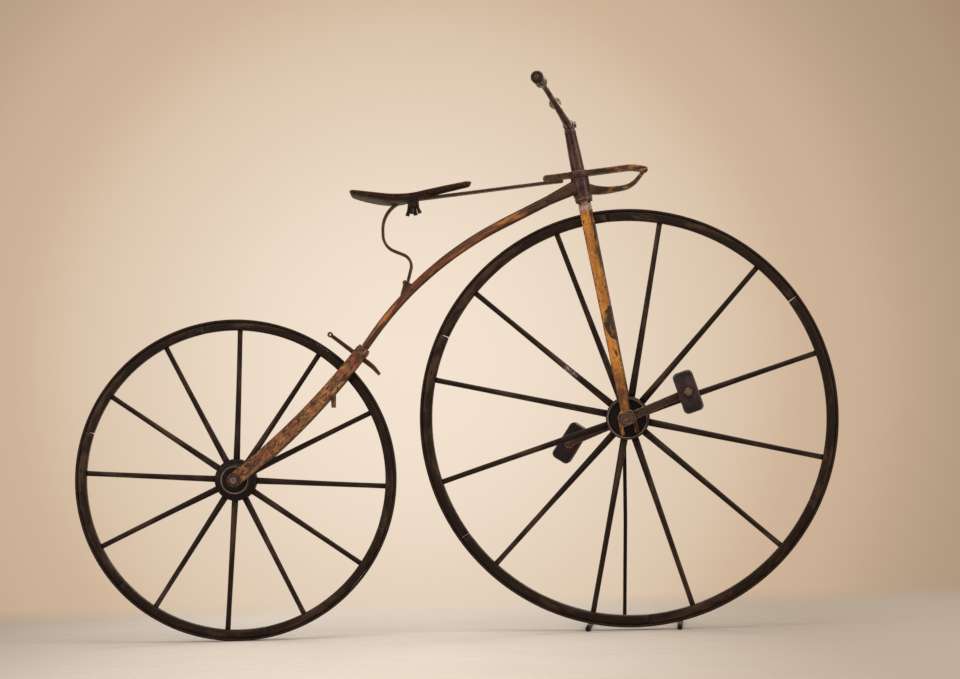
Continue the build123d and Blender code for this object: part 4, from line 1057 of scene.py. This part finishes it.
# Saddle: a dished leather seat on an iron pan, with a welt along its edge
saddle_length = saddle_high.x - saddle_low.x
DISH_AT = (0.0, 0.21, 0.43, 0.73, 1.0)
DISH = (27.0, 13.0, 8.0, 30.0, 43.2)
dish = [(saddle_low.x + share * saddle_length, 0, scroll_z + rise) for share, rise in zip(DISH_AT, DISH)]
dish = bent_line(dish, Matrix.Scale(1 / MM, 4))
dish_x = [spot.x for spot in dish]
dish_z = [spot.z for spot in dish]
HALF_AT = (0.0, 0.006, 0.02, 0.08, 0.21, 0.43, 0.73, 0.97, 0.992, 1.0)
HALVES = (2.4, 5.4, 7.2, 8.6, 10.0, 10.5, 8.0, 6.6, 5.2, 2.0)
PLAN_AT = (0.0, 0.02, 0.06, 0.14, 0.26, 0.36, 0.46, 0.56, 0.7, 0.86, 0.95, 0.985, 1.0)
PLAN = (30.0, 52.0, 66.0, 80.0, 86.0, 78.0, 52.0, 33.0, 25.5, 23.0, 21.0, 15.0, 7.0)


def dish_at(x):
    return float(np.interp(x, dish_x, dish_z))


def saddle_at(share):
    """Place along the machine, half height and half width at a share of the saddle's length."""
    x = saddle_low.x + 0.6 + (saddle_length - 1.2) * share
    return x, float(np.interp(share, HALF_AT, HALVES)), float(np.interp(share, PLAN_AT, PLAN))


def bulge(value, power):
    """A power that keeps the sign, which squares off a round section."""
    return abs(value) ** power * (1 if value > 0 else -1)


def shares_of(count):
    """Shares of a length, closer together at its ends."""
    return [(1 - cos(pi * k / count)) / 2 for k in range(count + 1)]


def saddle_section(share, thin, width, count=56):
    """A cross section of the saddle: dished on top, square at the sides, flat below; thin lowers its top."""
    x, half, wide = saddle_at(share)
    wide *= width
    row = []
    for k in range(count):
        angle = 2 * pi * k / count
        y = wide * bulge(cos(angle), 0.42)
        z = half * bulge(sin(angle), 0.75)
        sway = (y / wide) ** 2
        if sin(angle) > 0:
            z = z * (1 - thin) - 2.5 * (1 - sway)
        row.append(Vector((x, y, dish_at(x) + z)))
    return row


def saddle_skin(width, lift, thin):
    shares = shares_of(110)
    rows = []
    for share in shares:
        rows.append([point + Vector((0, 0, lift)) for point in saddle_section(share, thin, width)])
    along = [saddle_length * share for share in shares]
    return Shape().skin(rows, along, run_lengths(rows[40] + [rows[40][0]]), caps=True)


cover = drawn(saddle_skin(1.0, 0.0, 0.0), "saddle_cover", MACHINE, "frame", leather, "saddle_leather",
              rough=(0.8, 45, 0.12, 3.0))


def rubbed_and_lit(place, normal):
    """The top of the seat and its upper edge: leather rubbed red by riders, with a painted highlight on
    faces turned up.
    """
    spot = (to_machine @ place) / MM
    return 0.8 * max(0.0, normal.z) + (spot.z - dish_at(spot.x) + 1.5) / 10 + 0.3 * noise.noise(spot / 14)


set_mark(cover, "bared_and_lit", rubbed_and_lit)
drawn(saddle_skin(0.94, -1.6, 0.5), "saddle_plate", MACHINE, "frame", saddle_iron, "saddle_pan")
edge_line = []
for way in (1, -1):
    shares = shares_of(120)
    for share in shares if way > 0 else shares[-2:0:-1]:
        x, half, wide = saddle_at(share)
        edge_line.append((x, way * (wide - 0.4), dish_at(x) + 0.42 * half))
welt = Shape().swept(edge_line, [1.7] * len(edge_line), sides=10, loop=True)
drawn(welt, "saddle_welt", MACHINE, "frame", leather)

# Thong binding under the saddle and its four cut ends
clamp_low, clamp_high = [(to_machine @ corner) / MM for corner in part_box("saddle_clamp")]
clamp = (clamp_low + clamp_high) / 2
shape = Shape()
for k in range(5):
    x = clamp_low.x + 3.2 + k * (clamp_high.x - clamp_low.x - 6.4) / 4
    top = dish_at(x) - 2
    bottom = clamp_low.z + 2.5
    ring = []
    for s in range(48):
        c, w = cos(2 * pi * s / 48), sin(2 * pi * s / 48)
        z = (bottom + top) / 2 + (top - bottom) / 2 * bulge(w, 0.6)
        ring.append((x + 1.5 * w * (1 if k % 2 else -0.6), 18.5 * bulge(c, 0.5), z))
    shape.swept(ring, [3.1 + 0.3 * (k % 2)] * 48, sides=12, loop=True, up=FORWARD)
drawn(shape, "saddle_binding", MACHINE, "frame", thong, "saddle_clamp", rough=(0.3, 12))
shape = Shape()
for k, (lean, length) in enumerate(((-10, 25), (-2, 21), (4, 24), (12, 20))):
    start = Vector((clamp.x + (k - 1.5) * 6.0, (-1) ** k * 4.0, clamp_low.z + 4.0))
    path, radii = [], []
    for s in range(13):
        t = s / 12
        path.append(start + Vector((lean * t**1.3 * 0.55, (-1) ** k * 3.0 * t, -length * t)))
        radii.append(4.3 - 0.7 * sin(pi * min(1, t * 1.3)) + 0.4 * (t > 0.8))
    shape.swept(path, radii, sides=12, squash=0.8, up=LEFT)
drawn(shape, "saddle_thong_ends", MACHINE, "frame", thong, "saddle_lacing", rough=(0.35, 8))

# Display stand
for node in ("stand_prong_front", "stand_prong_rear", "stand_crossbar", "stand_upright", "stand_cradle"):
    forged(node, stand_black, voxel=1.2, depth=0.15, size=40)

# Floor with soft edges, pale backdrop, soft light
WARM_WHITE = (1.0, 0.97, 0.93)
FLOOR_FADES = (("Y", 0.55, 1.35), ("Y", -1.6, -3.2), ("X", 1.15, 2.3), ("X", -1.15, -2.3))
floor = bpy.data.meshes.new("floor")
floor.from_pydata([(-4, -6, 0), (4, -6, 0), (4, 4, 0), (-4, 4, 0)], [], [(0, 1, 2, 3)])
floor_obj = bpy.data.objects.new("floor", floor)
scene.collection.objects.link(floor_obj)
cloth = bpy.data.materials.new("floor_cloth")
cloth.use_nodes = True
floor.materials.append(cloth)
tree = cloth.node_tree
shader = tree.nodes["Principled BSDF"].inputs
shader["Roughness"].default_value = 0.85
shader["Specular IOR Level"].default_value = 0.2
spot = add_node(tree, "TexCoord", {}).outputs["Object"]
mottle = add_node(tree, "TexNoise", {"Vector": spot, "Scale": 2.2, "Detail": 6}).outputs[0]
tint = add_mix(tree, mottle, paint(222, 211, 200), paint(206, 194, 182))
stretch = add_node(tree, "Mapping", {"Vector": spot, "Scale": (1.1, 7.0, 1.0)}).outputs["Vector"]
folds = add_node(tree, "TexNoise", {"Vector": stretch, "Scale": 1.6, "Detail": 4, "Distortion": 0.8})
rise = add_node(tree, "Bump", {"Height": folds.outputs[0], "Strength": 0.6, "Distance": 0.02})
tree.links.new(rise.outputs["Normal"], shader["Normal"])
split = add_node(tree, "SeparateXYZ", {0: spot}).outputs
opacity = 1.0
for axis, whole, gone in FLOOR_FADES:
    opacity = add_math(tree, "MULTIPLY", opacity, add_span(tree, split[axis], whole, gone, 1.0, 0.0))
tree.links.new(opacity, shader["Alpha"])
# Painted shade: the floor's colour darkens from x = -0.25 m towards its sides.
shifted = add_math(tree, "ADD", split["X"], 0.25)
away = add_node(tree, "Math", {0: shifted}, operation="ABSOLUTE").outputs[0]
shaded = add_mix(tree, add_span(tree, away, 0.15, 1.15), tint, paint(168, 154, 139))
tree.links.new(shaded, shader["Base Color"])

# Even light from the world; the backdrop seen in it is a painted pool of light that darkens away from its
# middle and pales again far out
BACKDROP_MIDDLE = Vector((-0.0226, 1.0, 0.0260)).normalized()
BACKDROP = ((0.92, (222, 203, 180)), (0.9665, (166, 140, 115)), (0.9763, (180, 156, 131)),
            (0.9874, (206, 179, 151)), (0.9938, (222, 201, 177)), (0.9968, (231, 212, 191)),
            (1.0, (243, 227, 208)))
world = bpy.data.worlds.new("studio")
scene.world = world
world.use_nodes = True
tree = world.node_tree
light = tree.nodes["Background"]
light.inputs["Color"].default_value = (*WARM_WHITE, 1.0)
light.inputs["Strength"].default_value = 0.55
way = add_node(tree, "TexCoord", {}).outputs["Generated"]
ahead = add_node(tree, "VectorMath", {0: way, 1: BACKDROP_MIDDLE}, operation="DOT_PRODUCT").outputs["Value"]
shade = add_node(tree, "ValToRGB", {"Fac": ahead})
shade.color_ramp.interpolation = "EASE"
ramp = shade.color_ramp.elements
for stop, (position, colour) in ((ramp[0], BACKDROP[0]), (ramp[1], BACKDROP[-1])):
    stop.position = position
    stop.color = paint(*colour)
for position, colour in BACKDROP[1:-1]:
    ramp.new(position).color = paint(*colour)
backdrop = add_node(tree, "Background", {"Color": shade.outputs["Color"]})
rays = add_node(tree, "LightPath", {}).outputs
seen = add_math(tree, "ADD", rays["Is Camera Ray"], rays["Is Glossy Ray"])
seen = add_math(tree, "ADD", seen, rays["Is Transmission Ray"], use_clamp=True)
either = add_node(tree, "MixShader", {0: seen, 1: light.outputs[0], 2: backdrop.outputs[0]})
tree.links.new(either.outputs[0], tree.nodes["World Output"].inputs["Surface"])

# Lamps: place, target, width, height and power
lamps = (
    ("overhead", (0.2, -0.6, 3.2), (0.0, 0.0, 0.4), 3.0, 2.4, 56),
    ("right_box", (3.0, -2.2, 1.8), (0.2, 0.0, 0.6), 1.6, 2.2, 44),
    ("left_box", (-3.0, -3.0, 1.6), (-0.2, 0.0, 0.6), 1.8, 2.4, 34),
    ("behind", (1.2, 3.0, 2.4), (0.2, 0.0, 0.7), 2.2, 1.6, 26),
)
for name, spot, target, wide, tall, power in lamps:
    lamp = bpy.data.lights.new(name, "AREA")
    lamp.shape = "RECTANGLE"
    lamp.size, lamp.size_y = wide, tall
    lamp.energy = power
    lamp.color = WARM_WHITE
    holder = bpy.data.objects.new(name, lamp)
    holder.matrix_world = aimed(Vector(spot), Vector(spot) - Vector(target))
    scene.collection.objects.link(holder)

# Camera at the photograph's place
PICTURE_WIDTH = 960
SENSOR_WIDTH = 36.0
FOCAL_PIXELS = 2564.0
CAMERA_AT = (0.0332, -5.9264, 0.4763)
CAMERA_TURNS = (("Z", -0.270), ("X", 1.957), ("Y", 1.537), ("X", 90))
view = bpy.data.cameras.new("camera")
view.sensor_fit = "HORIZONTAL"
view.sensor_width = SENSOR_WIDTH
view.lens = FOCAL_PIXELS / PICTURE_WIDTH * SENSOR_WIDTH
view.clip_end = 100
stance = Matrix.Translation(CAMERA_AT)
for axis, angle in CAMERA_TURNS:
    stance = stance @ Matrix.Rotation(radians(angle), 4, axis)
camera = bpy.data.objects.new("camera", view)
camera.matrix_world = stance
scene.collection.objects.link(camera)
scene.camera = camera
scene.view_settings.view_transform = "Standard"
